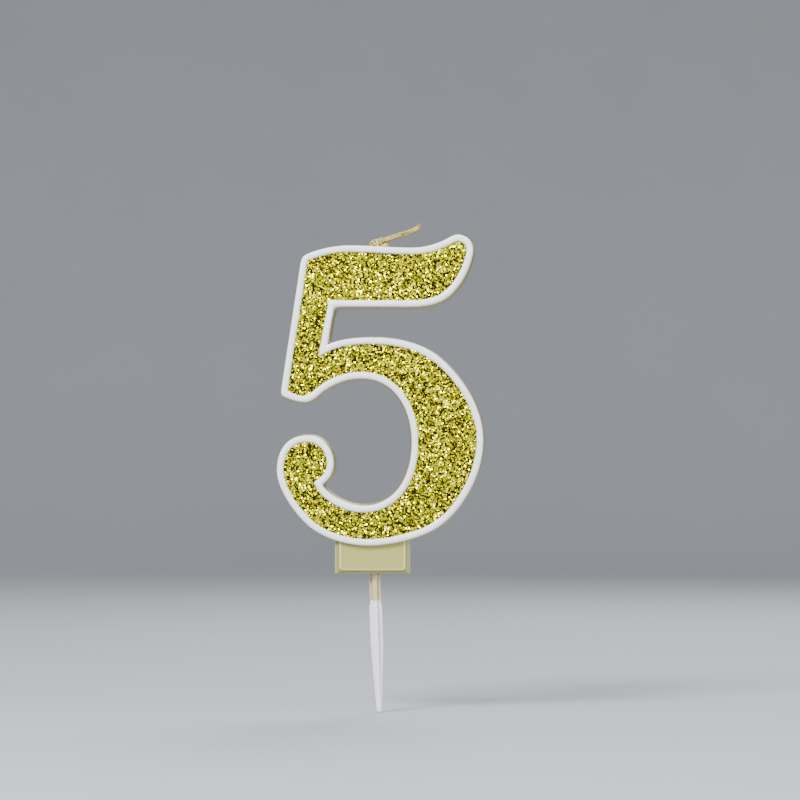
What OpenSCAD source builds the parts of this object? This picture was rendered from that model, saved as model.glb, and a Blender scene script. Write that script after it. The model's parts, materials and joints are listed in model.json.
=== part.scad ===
// Number birthday candle "5": a moulded wax figure with a raised border and a
// glitter-filled face, on a wax foot, carried on a cross-shaped plastic pick.
// Units are millimetres. +Z is up, the face looks toward -Y, and the origin is
// where the pick's axis meets the underside of the foot.

/* [Figure] */
// Thickness of the figure, front of the border to the back
figure_depth = 9; // [6:0.5:14]
// How far the figure's outline sits to one side of the pick
figure_shift = -0.4; // [-3:0.1:3]
// Width of the raised border
border_width = 1.7; // [1:0.1:3]
// How far the border stands above the recessed face
border_height = 1.1; // [0.6:0.1:2]
// Thickness of the glue layer on the recessed face
glue_thickness = 0.15; // [0.05:0.05:0.3]
// Thickness of the glitter layer on the glue
glitter_thickness = 0.4; // [0.2:0.05:0.7]

/* [Foot] */
// Width of the foot
foot_width = 16.3; // [12:0.1:22]
// Front-to-back depth of the foot
foot_depth = 6.8; // [5:0.1:10]
// Height of the foot before it is trimmed to the figure
foot_height = 9; // [7:0.5:12]
// Width of the sloped edge down both sides of the foot's front face
foot_bevel = 1.1; // [0.5:0.1:2]
// Height of the sloped edge along the bottom of the foot's front face
foot_bevel_low = 0.8; // [0.4:0.1:1.5]
// How far the foot's sloped edge drops back
foot_bevel_drop = 0.7; // [0.3:0.1:1.2]

/* [Pick] */
// Lean of the pick from upright, in degrees
pick_lean = 2; // [0:0.5:4]
// Length of pick below the foot
pick_length = 30.3; // [20:0.1:45]
// Length of pick held inside the wax
pick_insert = 11; // [6:0.5:12]
// Width across the arms of the neck
neck_width = 2.3; // [2:0.1:3]
// Length of neck showing below the foot
neck_length = 6.5; // [4:0.5:10]
// Width across the arms of the blade
blade_width = 2.7; // [2.3:0.1:4]
// Width of the blunt tip
tip_width = 1.1; // [0.6:0.1:2]
// Thickness of each arm of the cross
arm_thickness = 0.8; // [0.6:0.1:1.2]
// Clearance between the pick and its socket on each side
socket_clearance = 0.05; // [0.02:0.01:0.1]
// Length of neck carrying the lacquer film
film_length = 5.9; // [3:0.1:6.4]
// Thickness of the lacquer film
film_thickness = 0.08; // [0.05:0.01:0.15]

/* [Wick] */
// Diameter of the waxed wick
wick_diameter = 1.2; // [0.8:0.1:2]
// Length of wick cast into the top bar
wick_insert = 11; // [6:0.5:12]
// Angle of the first half of the free wick above level
wick_angle = 17; // [0:1:60]
// Extra rise the free wick gains along its length
wick_curl = 6; // [1:1:20]
// Length of the free wick
wick_length = 7.8; // [5:0.1:15]
// Clearance in the bend where the free wick turns
bend_clearance = 0.05; // [0.02:0.01:0.1]
// Width of the wax mound round the wick's root
mound_width = 3.8; // [3:0.1:6]
// Height of the wax mound above the top edge
mound_height = 2.2; // [1:0.1:3]

/* [Hidden] */
// "all", or the name of one sub-part

$fn = 48;

// Heights and reaches the outline is drawn to
bar_underside = 57.9;
bar_tip_top = 73.9;
bowl_top = 51.4;
bowl_right = 24.2;
bowl_bottom = 6;
ball_left = -20.8;
ball_top = 30.1;
counter_right = 8.5;
counter_top = 42.3;
counter_bottom = 14.8;
stem_top = [-15.6, 68];
stem_bottom = [-19.85, 40.3];

// Depth positions
face_front = -figure_depth / 2;
floor_y = face_front + border_height;
glue_front = floor_y - glue_thickness;
glitter_front = glue_front - glitter_thickness;
back_y = figure_depth / 2;
foot_front = -foot_depth / 2;
bevel_back = foot_front + foot_bevel_drop;

// Wick positions
wick_r = wick_diameter / 2;
wick_x = 0.6;
bend_x = 2.6;
bend_z = 72.9;
root_bend_z = 72;
curl_radius = wick_length / (wick_curl * PI / 180);

// A point on a cubic curve between a and d
function cubic(a, b, c, d, t) =
    a * pow(1 - t, 3) + 3 * b * t * pow(1 - t, 2) + 3 * c * t * t * (1 - t) + d * pow(t, 3);

// Points along a cubic curve, without its last point
function curve(a, b, c, d, n = 8) = [for (i = [0 : n - 1]) cubic(a, b, c, d, i / n)];

// A corner eased from a toward b round the corner point c, or left sharp
function eased(a, c, b, keep = true, n = 5) =
    keep ? curve(a, a + 0.55 * (c - a), b + 0.55 * (c - b), b, n) : [c];

// The figure's outline, clockwise from its top left corner, from smooth curves
function outline(soft = true) = concat(
    eased(stem_top, [-15.45, 69], [-14.5, 69.45], soft),
    // top edge, dipping a little before the pointed tip
    curve([-14.5, 69.45], [-12.2, 70.5], [-8.5, 71.4], [-5, 71.4]),
    curve([-5, 71.4], [-0.5, 71.4], [4.5, 70.9], [8.5, 70.9]),
    curve([8.5, 70.9], [13, 70.9], [15.7, 72.6], [17.5, 73.5]),
    // rounded tip and the sweep under it
    curve([17.5, 73.5], [19.1, bar_tip_top + 0.4], [22.1, 72.9], [22, 70.4]),
    curve([22, 70.4], [22, 67.4], [19.3, 61.8], [16, 59.7]),
    curve([16, 59.7], [14, 58.4], [11.5, bar_underside], [8, bar_underside]),
    // inside corner of the gap and the stem's right edge
    eased([-7.6, bar_underside], [-8.2, bar_underside], [-8.3, 57.3], true, 3),
    [[-8.3, 57.3]],
    eased([-9.6, 50.3], [-9.7, 49.8], [-9.2, 50.05], soft, 4),
    // outside of the bowl
    curve([-9.2, 50.05], [-6.6, bowl_top - 0.3], [-3.4, bowl_top], [0, bowl_top]),
    curve([0, bowl_top], [5.5, bowl_top], [11.2, 49.9], [15, 46.7], 10),
    curve([15, 46.7], [19.9, 42.5], [bowl_right, 36], [bowl_right, 29], 12),
    curve([bowl_right, 29], [bowl_right, 21.5], [19.6, 13.9], [15, 10.5], 12),
    curve([15, 10.5], [11, 7.5], [3.8, bowl_bottom], [-1, bowl_bottom], 10),
    curve([-1, bowl_bottom], [-5.2, bowl_bottom], [-10.8, 7.5], [-14, 10.4], 10),
    curve([-14, 10.4], [-17, 13.1], [ball_left, 18.3], [ball_left, 22.5]),
    // ball at the end of the stroke
    curve([ball_left, 22.5], [ball_left, 27.2], [-18.2, ball_top], [-14.3, ball_top]),
    curve([-14.3, ball_top], [-10.9, ball_top], [-8.3, 27.3], [-8.3, 24]),
    curve([-8.3, 24], [-8.3, 22], [-9.4, 20.4], [-10.5, 19.6]),
    eased([-10.5, 19.6], [-10.8, 19.35], [-10.6, 19], soft, 4),
    // inside of the bowl
    curve([-10.6, 19], [-9, 16.8], [-5.6, counter_bottom], [-2, counter_bottom]),
    curve([-2, counter_bottom], [4.4, counter_bottom], [counter_right, 20.3],
          [counter_right, 28.5], 12),
    curve([counter_right, 28.5], [counter_right, 36.5], [4.2, counter_top],
          [-2.3, counter_top], 12),
    curve([-2.3, counter_top], [-6.4, counter_top], [-9.6, 40.6], [-12, 38.4]),
    curve([-12, 38.4], [-13.1, 37.5], [-14, 37.15], [-15, 37.15], 6),
    curve([-15, 37.15], [-16.4, 37.15], [-17.4, 37.7], [-18.5, 38.05], 6),
    // foot of the stem
    eased([-18.5, 38.05], [-20.1, 38.55], stem_bottom, soft),
    soft ? [stem_bottom] : []
);

// The way a polygon side turns inward, for a clockwise outline
function inward(a, b) = [b[1] - a[1], a[0] - b[0]] / norm(b - a);

// A clockwise outline drawn in by d on every side
function inset(p, d) = [
    for (i = [0 : len(p) - 1])
        let (
            before = p[(i + len(p) - 1) % len(p)],
            after = p[(i + 1) % len(p)],
            n1 = inward(before, p[i]),
            n2 = inward(p[i], after)
        )
        p[i] + d * (n1 + n2) / (1 + n1 * n2)
];

// A flat plate of the given outline between two depths
module plate(points, front, back)
    translate([figure_shift, back, 0])
        rotate([90, 0, 0])
            linear_extrude(back - front)
                polygon(points);

// Everything on the pick's axis, which leans a little from upright
module on_pick_axis()
    rotate([0, -pick_lean, 0])
        children();

// One blade of the cross, standing on the pick's axis
module blade(profile, thickness)
    translate([0, thickness / 2, 0])
        rotate([90, 0, 0])
            linear_extrude(thickness)
                polygon(profile);

// A cross section made of two equal blades
module cross(profile, thickness) {
    blade(profile, thickness);
    rotate([0, 0, 90])
        blade(profile, thickness);
}

// A straight cross of constant width between two heights
module cross_bar(width, thickness, bottom, top) {
    translate([-width / 2, -thickness / 2, bottom])
        cube([width, thickness, top - bottom]);
    translate([-thickness / 2, -width / 2, bottom])
        cube([thickness, width, top - bottom]);
}

// The straight hole the wick is cast into
module wick_hole()
    translate([wick_x, 0, 71 - wick_insert])
        cylinder(r = wick_r, h = wick_insert + 3);

// The bent root of the wick, from the top bar to the bend
module wick_root_shape() {
    reach = norm([bend_x - wick_x, bend_z - root_bend_z]);
    tilt = atan2(bend_x - wick_x, bend_z - root_bend_z);
    translate([wick_x, 0, 71 - wick_insert])
        cylinder(r = wick_r, h = root_bend_z - 71 + wick_insert);
    translate([wick_x, 0, root_bend_z])
        sphere(r = wick_r);
    translate([wick_x, 0, root_bend_z])
        rotate([0, tilt, 0])
            cylinder(r = wick_r, h = reach);
}

// Hollow that leaves the free wick room to turn
module bend_room()
    translate([bend_x, 0, bend_z])
        sphere(r = wick_r + bend_clearance);

// The cross-shaped socket for the pick
module socket_shape()
    on_pick_axis()
        cross_bar(neck_width + 2 * socket_clearance,
                  arm_thickness + 2 * socket_clearance,
                  -2, pick_insert + 0.3);

// Wax figure with a flat recessed face, the top of the socket and the wick's bore
module numeral_casting()
    color("#b9b07a")
        difference() {
            plate(outline(), floor_y, back_y);
            socket_shape();
            wick_hole();
        }

// Wax foot, hollowed to the figure's underside, with a sloped edge round its face
module foot_block()
    color("#bfbc92")
        difference() {
            translate([figure_shift - foot_width / 2, foot_front, 0])
                cube([foot_width, foot_depth, foot_height]);
            plate(outline(), face_front - 1, back_y + 1);
            for (side = [-1, 1])
                translate([figure_shift + side * foot_width / 2, bevel_back, 0])
                    rotate([0, 0, side * atan2(foot_bevel_drop, foot_bevel)])
                        translate([-4, -4, -1])
                            cube([8, 4, foot_height + 2]);
            translate([figure_shift, bevel_back, 0])
                rotate([atan2(foot_bevel_drop, foot_bevel_low), 0, 0])
                    translate([-foot_width, -4, -4])
                        cube([2 * foot_width, 4, 8]);
            socket_shape();
        }

// Raised border round the face
module border_bead()
    color("#f8f6fa")
        difference() {
            plate(outline(), face_front, floor_y);
            plate(inset(outline(false), border_width), face_front - 1, floor_y + 1);
        }

// Clear glue that fills the floor of the recess
module glue_bed()
    color("#d8d2a0")
        plate(inset(outline(false), border_width), glue_front, floor_y);

// Glitter held on the glue
module glitter_crust()
    color("#b4aa4c")
        plate(inset(outline(false), border_width), glitter_front, glue_front);

// Wick cast into the top bar, ending in the cup of the bend
module wick_core()
    color("#a89a4e")
        difference() {
            wick_root_shape();
            bend_room();
        }

// Mound of wax and glitter round the wick's root
module wick_collar()
    color("#c4b95c")
        difference() {
            translate([wick_x, 0, 70])
                cylinder(r1 = mound_width / 2 + 0.2, r2 = mound_width / 2 - 0.9,
                         h = mound_height + 1.2);
            plate(outline(), face_front - 1, back_y + 1);
            wick_root_shape();
            bend_room();
        }

// Free end of the wick, a gently curved rod which turns about the bend
module wick_tip()
    color("#b5a65a")
        translate([bend_x, 0, bend_z]) {
            sphere(r = wick_r - 0.05);
            rotate([0, -wick_angle, 0])
                translate([0, 0, curl_radius])
                    rotate([90, 0, 0])
                        rotate([0, 0, -90])
                            rotate_extrude(angle = wick_curl, $fn = 96)
                                translate([curl_radius, 0])
                                    circle(r = wick_r, $fn = 48);
        }

// Cross-shaped pick: neck, shoulder, blade and blunt tip
module pick() {
    shoulder = -neck_length;
    neck = neck_width / 2;
    wide = blade_width / 2;
    tip = tip_width / 2;
    taper_start = -pick_length / 2;
    color("#eeedf2")
        on_pick_axis()
            cross([[-neck, pick_insert - 0.4], [-neck + 0.4, pick_insert],
                   [neck - 0.4, pick_insert], [neck, pick_insert - 0.4],
                   [neck, shoulder], [wide, shoulder - 0.6],
                   [wide, taper_start], [tip, 0.4 - pick_length],
                   [tip - 0.3, -pick_length], [0.3 - tip, -pick_length],
                   [-tip, 0.4 - pick_length], [-wide, taper_start],
                   [-wide, shoulder - 0.6], [-neck, shoulder]],
                  arm_thickness);
}

// Lacquer left on the neck of the pick, all round the cross
module pick_film()
    color("#d8d1b1")
        on_pick_axis()
            difference() {
                cross_bar(neck_width + 2 * film_thickness,
                          arm_thickness + 2 * film_thickness,
                          -film_length, -0.1);
                cross_bar(neck_width, arm_thickness, -film_length - 1, 1);
            }

numeral_casting();
foot_block();
border_bead();
glue_bed();
glitter_crust();
wick_core();
wick_collar();
wick_tip();
pick();
pick_film();
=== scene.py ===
"""Looks for a numeral cake candle with a glitter face, a wax foot and a plastic pick.

Every size is in metres in the row's own frame. The figure's outline, the heights of the
pieces and the pick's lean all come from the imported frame.
"""

import json
import logging
import math
from dataclasses import dataclass, field
from enum import Enum
from typing import Callable, Sequence

import bmesh
import bpy
import numpy as np
from mathutils import Euler, Matrix, Vector, geometry, noise


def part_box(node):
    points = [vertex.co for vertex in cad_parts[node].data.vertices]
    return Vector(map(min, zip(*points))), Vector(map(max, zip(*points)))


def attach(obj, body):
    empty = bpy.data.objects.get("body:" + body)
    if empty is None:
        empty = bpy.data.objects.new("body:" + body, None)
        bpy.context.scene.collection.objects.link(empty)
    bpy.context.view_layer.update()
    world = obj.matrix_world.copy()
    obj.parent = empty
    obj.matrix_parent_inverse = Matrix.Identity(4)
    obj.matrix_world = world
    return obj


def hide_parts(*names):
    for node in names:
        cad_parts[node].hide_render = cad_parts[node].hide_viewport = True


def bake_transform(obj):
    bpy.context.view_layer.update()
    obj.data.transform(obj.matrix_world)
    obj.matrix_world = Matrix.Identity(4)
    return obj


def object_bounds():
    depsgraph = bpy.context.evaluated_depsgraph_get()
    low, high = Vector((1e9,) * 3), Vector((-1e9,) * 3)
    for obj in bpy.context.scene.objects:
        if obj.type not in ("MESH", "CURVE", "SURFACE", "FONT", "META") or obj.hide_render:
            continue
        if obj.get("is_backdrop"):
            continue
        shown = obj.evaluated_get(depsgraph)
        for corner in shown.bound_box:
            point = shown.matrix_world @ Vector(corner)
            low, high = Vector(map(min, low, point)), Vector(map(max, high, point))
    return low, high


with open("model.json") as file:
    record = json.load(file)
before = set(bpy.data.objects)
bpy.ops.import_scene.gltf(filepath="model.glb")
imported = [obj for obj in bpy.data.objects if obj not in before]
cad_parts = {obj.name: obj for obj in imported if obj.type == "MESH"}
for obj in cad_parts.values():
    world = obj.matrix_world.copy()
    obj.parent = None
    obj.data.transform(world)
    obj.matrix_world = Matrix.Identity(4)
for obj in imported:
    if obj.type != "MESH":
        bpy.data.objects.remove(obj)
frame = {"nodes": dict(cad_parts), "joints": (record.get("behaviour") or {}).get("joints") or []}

LOG = logging.getLogger("candle")
MM = 0.001
# Blender's noise stays within about 0.6 of zero, and this spreads it to about one.
FULL_SWING = 1.6
# Distance in the noise between the patterns of two seeds that follow each other.
SEED_STEP = 7.31


class Body(Enum):
    """The rigid bodies that pieces ride on."""

    PICK = "pick"
    CANDLE = "candle"
    WICK = "wick"


class Slot(Enum):
    """The record's material slots."""

    WAX_GOLD = "wax_gold"
    WAX_PEARL = "wax_pearl"
    BORDER = "border_white"
    GLUE = "glue_clear"
    GLITTER = "glitter_gold"
    COTTON = "wick_cotton"
    MOUND = "wax_mound"
    PLASTIC = "pick_white"
    LACQUER = "lacquer_pearl"


class Shading(Enum):
    """How the faces of a new mesh are shaded."""

    SMOOTH = "smooth"
    FLAT = "flat"


# --------------------------------------------------------------------------------------
# Meshes
# --------------------------------------------------------------------------------------


@dataclass
class MeshParts:
    """Vertices, faces and one tone value per face, gathered before a mesh is made."""

    points: list[np.ndarray] = field(default_factory=list)
    faces: list[tuple[int, ...]] = field(default_factory=list)
    tones: list[float] = field(default_factory=list)
    count: int = 0

    def add(
        self,
        points: np.ndarray,
        faces: Sequence[Sequence[int]],
        tones: float | Sequence[float] = 0.5,
    ) -> None:
        """Adds one patch.

        Args:
            points: N by 3 positions in metres.
            faces: Faces as indices into points.
            tones: One tone for the whole patch, or one for each face.
        """
        self.points.append(np.asarray(points, float))
        self.faces.extend(tuple(i + self.count for i in f) for f in faces)
        if isinstance(tones, (int, float)):
            tones = [float(tones)] * len(faces)
        self.tones.extend(tones)
        self.count += len(points)

    def build(self, name: str, shading: Shading) -> bpy.types.Object:
        """Makes the mesh object and links it to the scene.

        Args:
            name: Name of the object and of its mesh.
            shading: Smooth or flat faces.

        Returns:
            The new object, with face tones in the attribute "tone".
        """
        mesh = bpy.data.meshes.new(name)
        mesh.from_pydata(np.concatenate(self.points).tolist(), [], self.faces)
        mesh.validate(clean_customdata=False)
        if len(mesh.polygons) == len(self.tones):
            tone = mesh.attributes.new("tone", "FLOAT", "FACE")
            tone.data.foreach_set("value", np.asarray(self.tones, np.float32))
        mesh.polygons.foreach_set(
            "use_smooth", [shading is Shading.SMOOTH] * len(mesh.polygons)
        )
        mesh.update()
        made = bpy.data.objects.new(name, mesh)
        bpy.context.scene.collection.objects.link(made)
        return made


def bridge(
    rings: Sequence[np.ndarray], closed: bool = False
) -> tuple[np.ndarray, list[tuple[int, ...]]]:
    """Skins a row of rings that all have the same number of points.

    Args:
        rings: Rings of N by 3 points, in order.
        closed: True joins the last ring to the first.

    Returns:
        The points and the quads between the rings.
    """
    n = len(rings[0])
    faces: list[tuple[int, ...]] = []
    rows = len(rings) if closed else len(rings) - 1
    for r in range(rows):
        a, b = r * n, ((r + 1) % len(rings)) * n
        for i in range(n):
            j = (i + 1) % n
            faces.append((a + i, a + j, b + j, b + i))
    return np.concatenate(rings), faces


def recalc_outward(made: bpy.types.Object) -> None:
    """Turns every face of a closed mesh outward.

    Args:
        made: The mesh object.
    """
    bm = bmesh.new()
    bm.from_mesh(made.data)
    bmesh.ops.recalc_face_normals(bm, faces=bm.faces)
    bm.to_mesh(made.data)
    bm.free()


def weld(made: bpy.types.Object, distance: float) -> None:
    """Joins vertices of a mesh that lie within a distance.

    Args:
        made: The mesh object.
        distance: The largest gap that is closed.
    """
    bm = bmesh.new()
    bm.from_mesh(made.data)
    bmesh.ops.remove_doubles(bm, verts=bm.verts, dist=distance)
    bm.to_mesh(made.data)
    bm.free()


def read_array(
    items: bpy.types.bpy_prop_collection, key: str, width: int, kind: type
) -> np.ndarray:
    """Reads one property of every item of a mesh collection.

    Args:
        items: The collection, such as a mesh's vertices.
        key: The property's name.
        width: How many numbers it has.
        kind: The numbers' type.

    Returns:
        One row for each item.
    """
    values = np.empty(len(items) * width, kind)
    items.foreach_get(key, values)
    return values.reshape(-1, width)


def store_ridges(mesh: bpy.types.Mesh) -> None:
    """Stores how raised each vertex is, for the painted highlight on raised edges and the
    painted shade in hollows.

    The attribute "ridge" is 0.5 on flat parts, more on raised edges and less in hollows.

    Args:
        mesh: The finished mesh.
    """
    count = len(mesh.vertices)
    place = read_array(mesh.vertices, "co", 3, np.float32).astype(float)
    normal = read_array(mesh.vertex_normals, "vector", 3, np.float32).astype(float)
    a, b = read_array(mesh.edges, "vertices", 2, np.int32).T
    way = place[b] - place[a]
    way /= np.maximum(np.linalg.norm(way, axis=1), 1e-12)[:, None]
    used = np.maximum(np.bincount(a, minlength=count) + np.bincount(b, minlength=count), 1)
    lean = np.bincount(a, np.sum(normal[a] * way, axis=1), count)
    lean -= np.bincount(b, np.sum(normal[b] * way, axis=1), count)
    ridge = 0.5 - np.arcsin(np.clip(lean / used, -1, 1)) / math.pi
    near = np.bincount(a, ridge[b], count) + np.bincount(b, ridge[a], count)
    ridge = 0.5 * ridge + 0.5 * near / used
    stored = mesh.attributes.new("ridge", "FLOAT", "POINT")
    stored.data.foreach_set("value", ridge.astype(np.float32))


def tube(
    spine: np.ndarray,
    radii: np.ndarray,
    side: np.ndarray,
    sides: int = 10,
    shape: Callable[[np.ndarray, float], np.ndarray] | None = None,
) -> tuple[np.ndarray, list[tuple[int, ...]]]:
    """A closed tube along a spine.

    Args:
        spine: N by 3 centre points.
        radii: Radius at each centre point.
        side: A direction that is never along the spine, from which the rings are laid.
        sides: Points in a ring.
        shape: Optional factor on the radius, from the ring's angles and its distance along.

    Returns:
        The points and faces, ends closed with a fan.
    """
    tangents = np.gradient(spine, axis=0)
    tangents /= np.linalg.norm(tangents, axis=1)[:, None]
    steps = np.linalg.norm(np.diff(spine, axis=0), axis=1)
    along = np.concatenate([[0], np.cumsum(steps)])
    angles = np.linspace(0, 2 * math.pi, sides, endpoint=False)
    rings = []
    for p, t, r, s in zip(spine, tangents, radii, along, strict=True):
        u = np.cross(t, side)
        u /= np.linalg.norm(u)
        v = np.cross(t, u)
        factor = shape(angles, s) if shape else np.ones(sides)
        ring = (np.cos(angles)[:, None] * u + np.sin(angles)[:, None] * v) * (
            r * factor
        )[:, None]
        rings.append(p + ring)
    points, faces = bridge(rings)
    last = len(points)
    points = np.vstack([points, spine[0], spine[-1]])
    for i in range(sides):
        j = (i + 1) % sides
        faces.append((last, j, i))
        faces.append((last + 1, last - sides + i, last - sides + j))
    return points, faces


def smooth_curve(knots: Sequence[Sequence[float]], step: float) -> np.ndarray:
    """A centripetal Catmull-Rom curve through the knots, at even spacing.

    Args:
        knots: Points of two or three numbers.
        step: Distance between the points that come back.

    Returns:
        Points along the curve, both ends included.
    """
    p = np.asarray(knots, float)
    if len(p) > 2:
        p = np.vstack([2 * p[0] - p[1], p, 2 * p[-1] - p[-2]])
        out = []
        for a, b, c, d in zip(p[:-3], p[1:-2], p[2:-1], p[3:], strict=True):
            t0 = 0.0
            t1 = t0 + math.sqrt(max(np.linalg.norm(b - a), 1e-9))
            t2 = t1 + math.sqrt(max(np.linalg.norm(c - b), 1e-9))
            t3 = t2 + math.sqrt(max(np.linalg.norm(d - c), 1e-9))
            t = np.linspace(t1, t2, 12, endpoint=False)[:, None]
            a1 = (t1 - t) / (t1 - t0) * a + (t - t0) / (t1 - t0) * b
            a2 = (t2 - t) / (t2 - t1) * b + (t - t1) / (t2 - t1) * c
            a3 = (t3 - t) / (t3 - t2) * c + (t - t2) / (t3 - t2) * d
            b1 = (t2 - t) / (t2 - t0) * a1 + (t - t0) / (t2 - t0) * a2
            b2 = (t3 - t) / (t3 - t1) * a2 + (t - t1) / (t3 - t1) * a3
            out.append((t2 - t) / (t2 - t1) * b1 + (t - t1) / (t2 - t1) * b2)
        p = np.vstack([*out, p[-2]])
    lengths = np.concatenate(
        [[0], np.cumsum(np.linalg.norm(np.diff(p, axis=0), axis=1))]
    )
    count = max(2, round(lengths[-1] / step) + 1)
    even = np.linspace(0, lengths[-1], count)
    return np.column_stack([np.interp(even, lengths, p[:, k]) for k in range(p.shape[1])])


def line_wave(along: np.ndarray, seed: float, scale: float) -> np.ndarray:
    """Unevenness along an open line.

    Args:
        along: Places on the line, in metres.
        seed: Picks the pattern.
        scale: Length of a bump, in metres.

    Returns:
        One value for each place, between about -1 and 1.
    """
    return np.array(
        [
            noise.noise(Vector((s / scale, seed * SEED_STEP, seed * 1.7))) * FULL_SWING
            for s in along.tolist()
        ]
    )


def loop_wave(count: int, spacing: float, seed: float, scale: float) -> np.ndarray:
    """Unevenness along a closed loop, which meets itself where the loop closes.

    Args:
        count: Points in the loop.
        spacing: Distance between them, in metres.
        seed: Picks the pattern.
        scale: Length of a bump, in metres.

    Returns:
        One value for each point, between about -1 and 1.
    """
    radius = count * spacing / (2 * math.pi * scale)
    turns = np.arange(count) * 2 * math.pi / count
    return np.array(
        [
            noise.noise(
                Vector((radius * math.cos(t), radius * math.sin(t), seed * SEED_STEP))
            )
            * FULL_SWING
            for t in turns
        ]
    )


# --------------------------------------------------------------------------------------
# The figure's outline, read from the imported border
# --------------------------------------------------------------------------------------


class FigureOutline:
    """The figure's outline and the loops drawn in or out from it.

    Loops are lists of (x, z) points, anticlockwise as the figure is read, and they all have
    the same number of points, so any two can be skinned together. Angles are in degrees.
    """

    sharp: float = 40.0
    """A turn of more than this is a corner, where the loop is cut."""
    soft: float = 12.0
    """Points that turn by more than this each may belong to a round corner."""
    soft_total: float = 60.0
    """What the points of a round corner turn by together, at least."""
    rounding: int = 16
    """Smoothing passes that an outside corner gets at the outline."""

    def __init__(
        self,
        border: bpy.types.Object,
        spacing: float = 0.3 * MM,
        trim: float = 0.16 * MM,
        tighten: float = 0.7,
    ) -> None:
        """Reads the border's two front edges.

        Args:
            border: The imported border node.
            spacing: Distance between points along a loop.
            trim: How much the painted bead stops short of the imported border's inner edge.
            tighten: How far round inside corners are drawn to a point, from 0 to 1.
        """
        loops = sorted(self._front_loops(border), key=self._area, reverse=True)
        self.inner = self._anticlockwise(loops[1])
        self.width = float(np.median(segment_distance(self.inner, loops[0])))
        self.spacing = spacing
        mitres = self._mitres(self.inner)
        edge = self.inner - mitres * self.width
        self.inner = self._tightened(self.inner, tighten) - mitres * trim
        self.width -= trim
        self.inward = (self.inner - edge) / self.width
        turn = self._turns(self.inner)
        self.corners = [i for i, t in enumerate(turn) if abs(t) > self.sharp]
        self.convex = [turn[i] > 0 for i in self.corners]
        self.counts = self._section_counts()

    @staticmethod
    def _front_loops(node: bpy.types.Object) -> list[np.ndarray]:
        """Finds the closed edges round a node's front face.

        Args:
            node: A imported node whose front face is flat.

        Returns:
            The edges as loops of (x, z) points.
        """
        co = np.array([v.co for v in node.data.vertices], float)
        front = co[:, 1].min()
        key = {}
        ids = []
        for p in np.round(co * 1e6).astype(int):
            ids.append(key.setdefault(tuple(p), len(key)))
        where = {}
        for i, p in zip(ids, co, strict=True):
            where[i] = p
        used: dict[tuple[int, int], int] = {}
        for poly in node.data.polygons:
            loop = [ids[v] for v in poly.vertices]
            if all(where[i][1] < front + 1e-6 for i in loop):
                for a, b in zip(loop, loop[1:] + loop[:1], strict=True):
                    used[(a, b)] = used.get((a, b), 0) + 1
        follow = {a: b for (a, b) in used if (b, a) not in used}
        loops = []
        while follow:
            start, here = next(iter(follow.items()))
            chain = [start]
            del follow[start]
            while here != start:
                chain.append(here)
                here = follow.pop(here)
            loops.append(np.array([[where[i][0], where[i][2]] for i in chain]))
        return loops

    @staticmethod
    def _area(loop: np.ndarray) -> float:
        """The size of the area inside a loop."""
        x, z = loop[:, 0], loop[:, 1]
        return abs(float(np.sum(x * np.roll(z, -1) - z * np.roll(x, -1)))) / 2

    @staticmethod
    def _anticlockwise(loop: np.ndarray) -> np.ndarray:
        """The loop, turned round if it runs clockwise."""
        x, z = loop[:, 0], loop[:, 1]
        return loop if np.sum(x * np.roll(z, -1) - z * np.roll(x, -1)) > 0 else loop[::-1]

    @staticmethod
    def _turns(loop: np.ndarray) -> np.ndarray:
        """Measures the turn at each point of a loop.

        Args:
            loop: The closed loop.

        Returns:
            Turns in degrees, positive where the loop is convex.
        """
        a = loop - np.roll(loop, 1, axis=0)
        b = np.roll(loop, -1, axis=0) - loop
        cross = a[:, 0] * b[:, 1] - a[:, 1] * b[:, 0]
        return np.degrees(np.arctan2(cross, np.sum(a * b, axis=1)))

    @staticmethod
    def _mitres(loop: np.ndarray) -> np.ndarray:
        """Works out how each point moves when a loop is drawn in.

        Args:
            loop: The closed loop.

        Returns:
            For each point, the step inward that moves both of its sides by one.
        """
        a = loop - np.roll(loop, 1, axis=0)
        b = np.roll(loop, -1, axis=0) - loop
        n1 = np.column_stack([-a[:, 1], a[:, 0]]) / np.linalg.norm(a, axis=1)[:, None]
        n2 = np.column_stack([-b[:, 1], b[:, 0]]) / np.linalg.norm(b, axis=1)[:, None]
        return (n1 + n2) / (1 + np.sum(n1 * n2, axis=1))[:, None]

    def _tightened(self, loop: np.ndarray, pull: float) -> np.ndarray:
        """The loop with its round inside corners drawn towards a point.

        Args:
            loop: The closed loop.
            pull: How far the corner's points move to where its two sides would meet.

        Returns:
            The loop's points, as many as before.
        """
        made = loop.copy()
        turn = self._turns(loop)
        start = 0
        while start < len(loop):
            end = start
            while end < len(loop) and -self.sharp < turn[end] < -self.soft:
                end += 1
            if end - start > 2 and turn[start:end].sum() < -self.soft_total:
                a, b = loop[start], loop[end - 1]
                sides = np.column_stack([a - loop[start - 1], b - loop[end % len(loop)]])
                meet = a + sides[:, 0] * np.linalg.solve(sides, b - a)[0]
                inside = slice(start + 1, end - 1)
                made[inside] += (meet - made[inside]) * pull
            start = end + 1
        return made

    def _sections(self, loop: np.ndarray) -> list[np.ndarray]:
        """Cuts a loop at its corners.

        Args:
            loop: The closed loop, with as many points as the border's inner edge.

        Returns:
            The sections, each with both of its ends.
        """
        out = []
        for a, b in zip(
            self.corners, self.corners[1:] + [self.corners[0] + len(loop)], strict=True
        ):
            out.append(loop[np.arange(a, b + 1) % len(loop)])
        return out

    def _section_counts(self) -> list[int]:
        """Shares out the points.

        Returns:
            How many points each section of a loop gets.
        """
        counts = []
        for s in self._sections(self.inner - self.inward * self.width / 2):
            length = float(np.sum(np.linalg.norm(np.diff(s, axis=0), axis=1)))
            counts.append(max(4, round(length / self.spacing)))
        return counts

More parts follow.
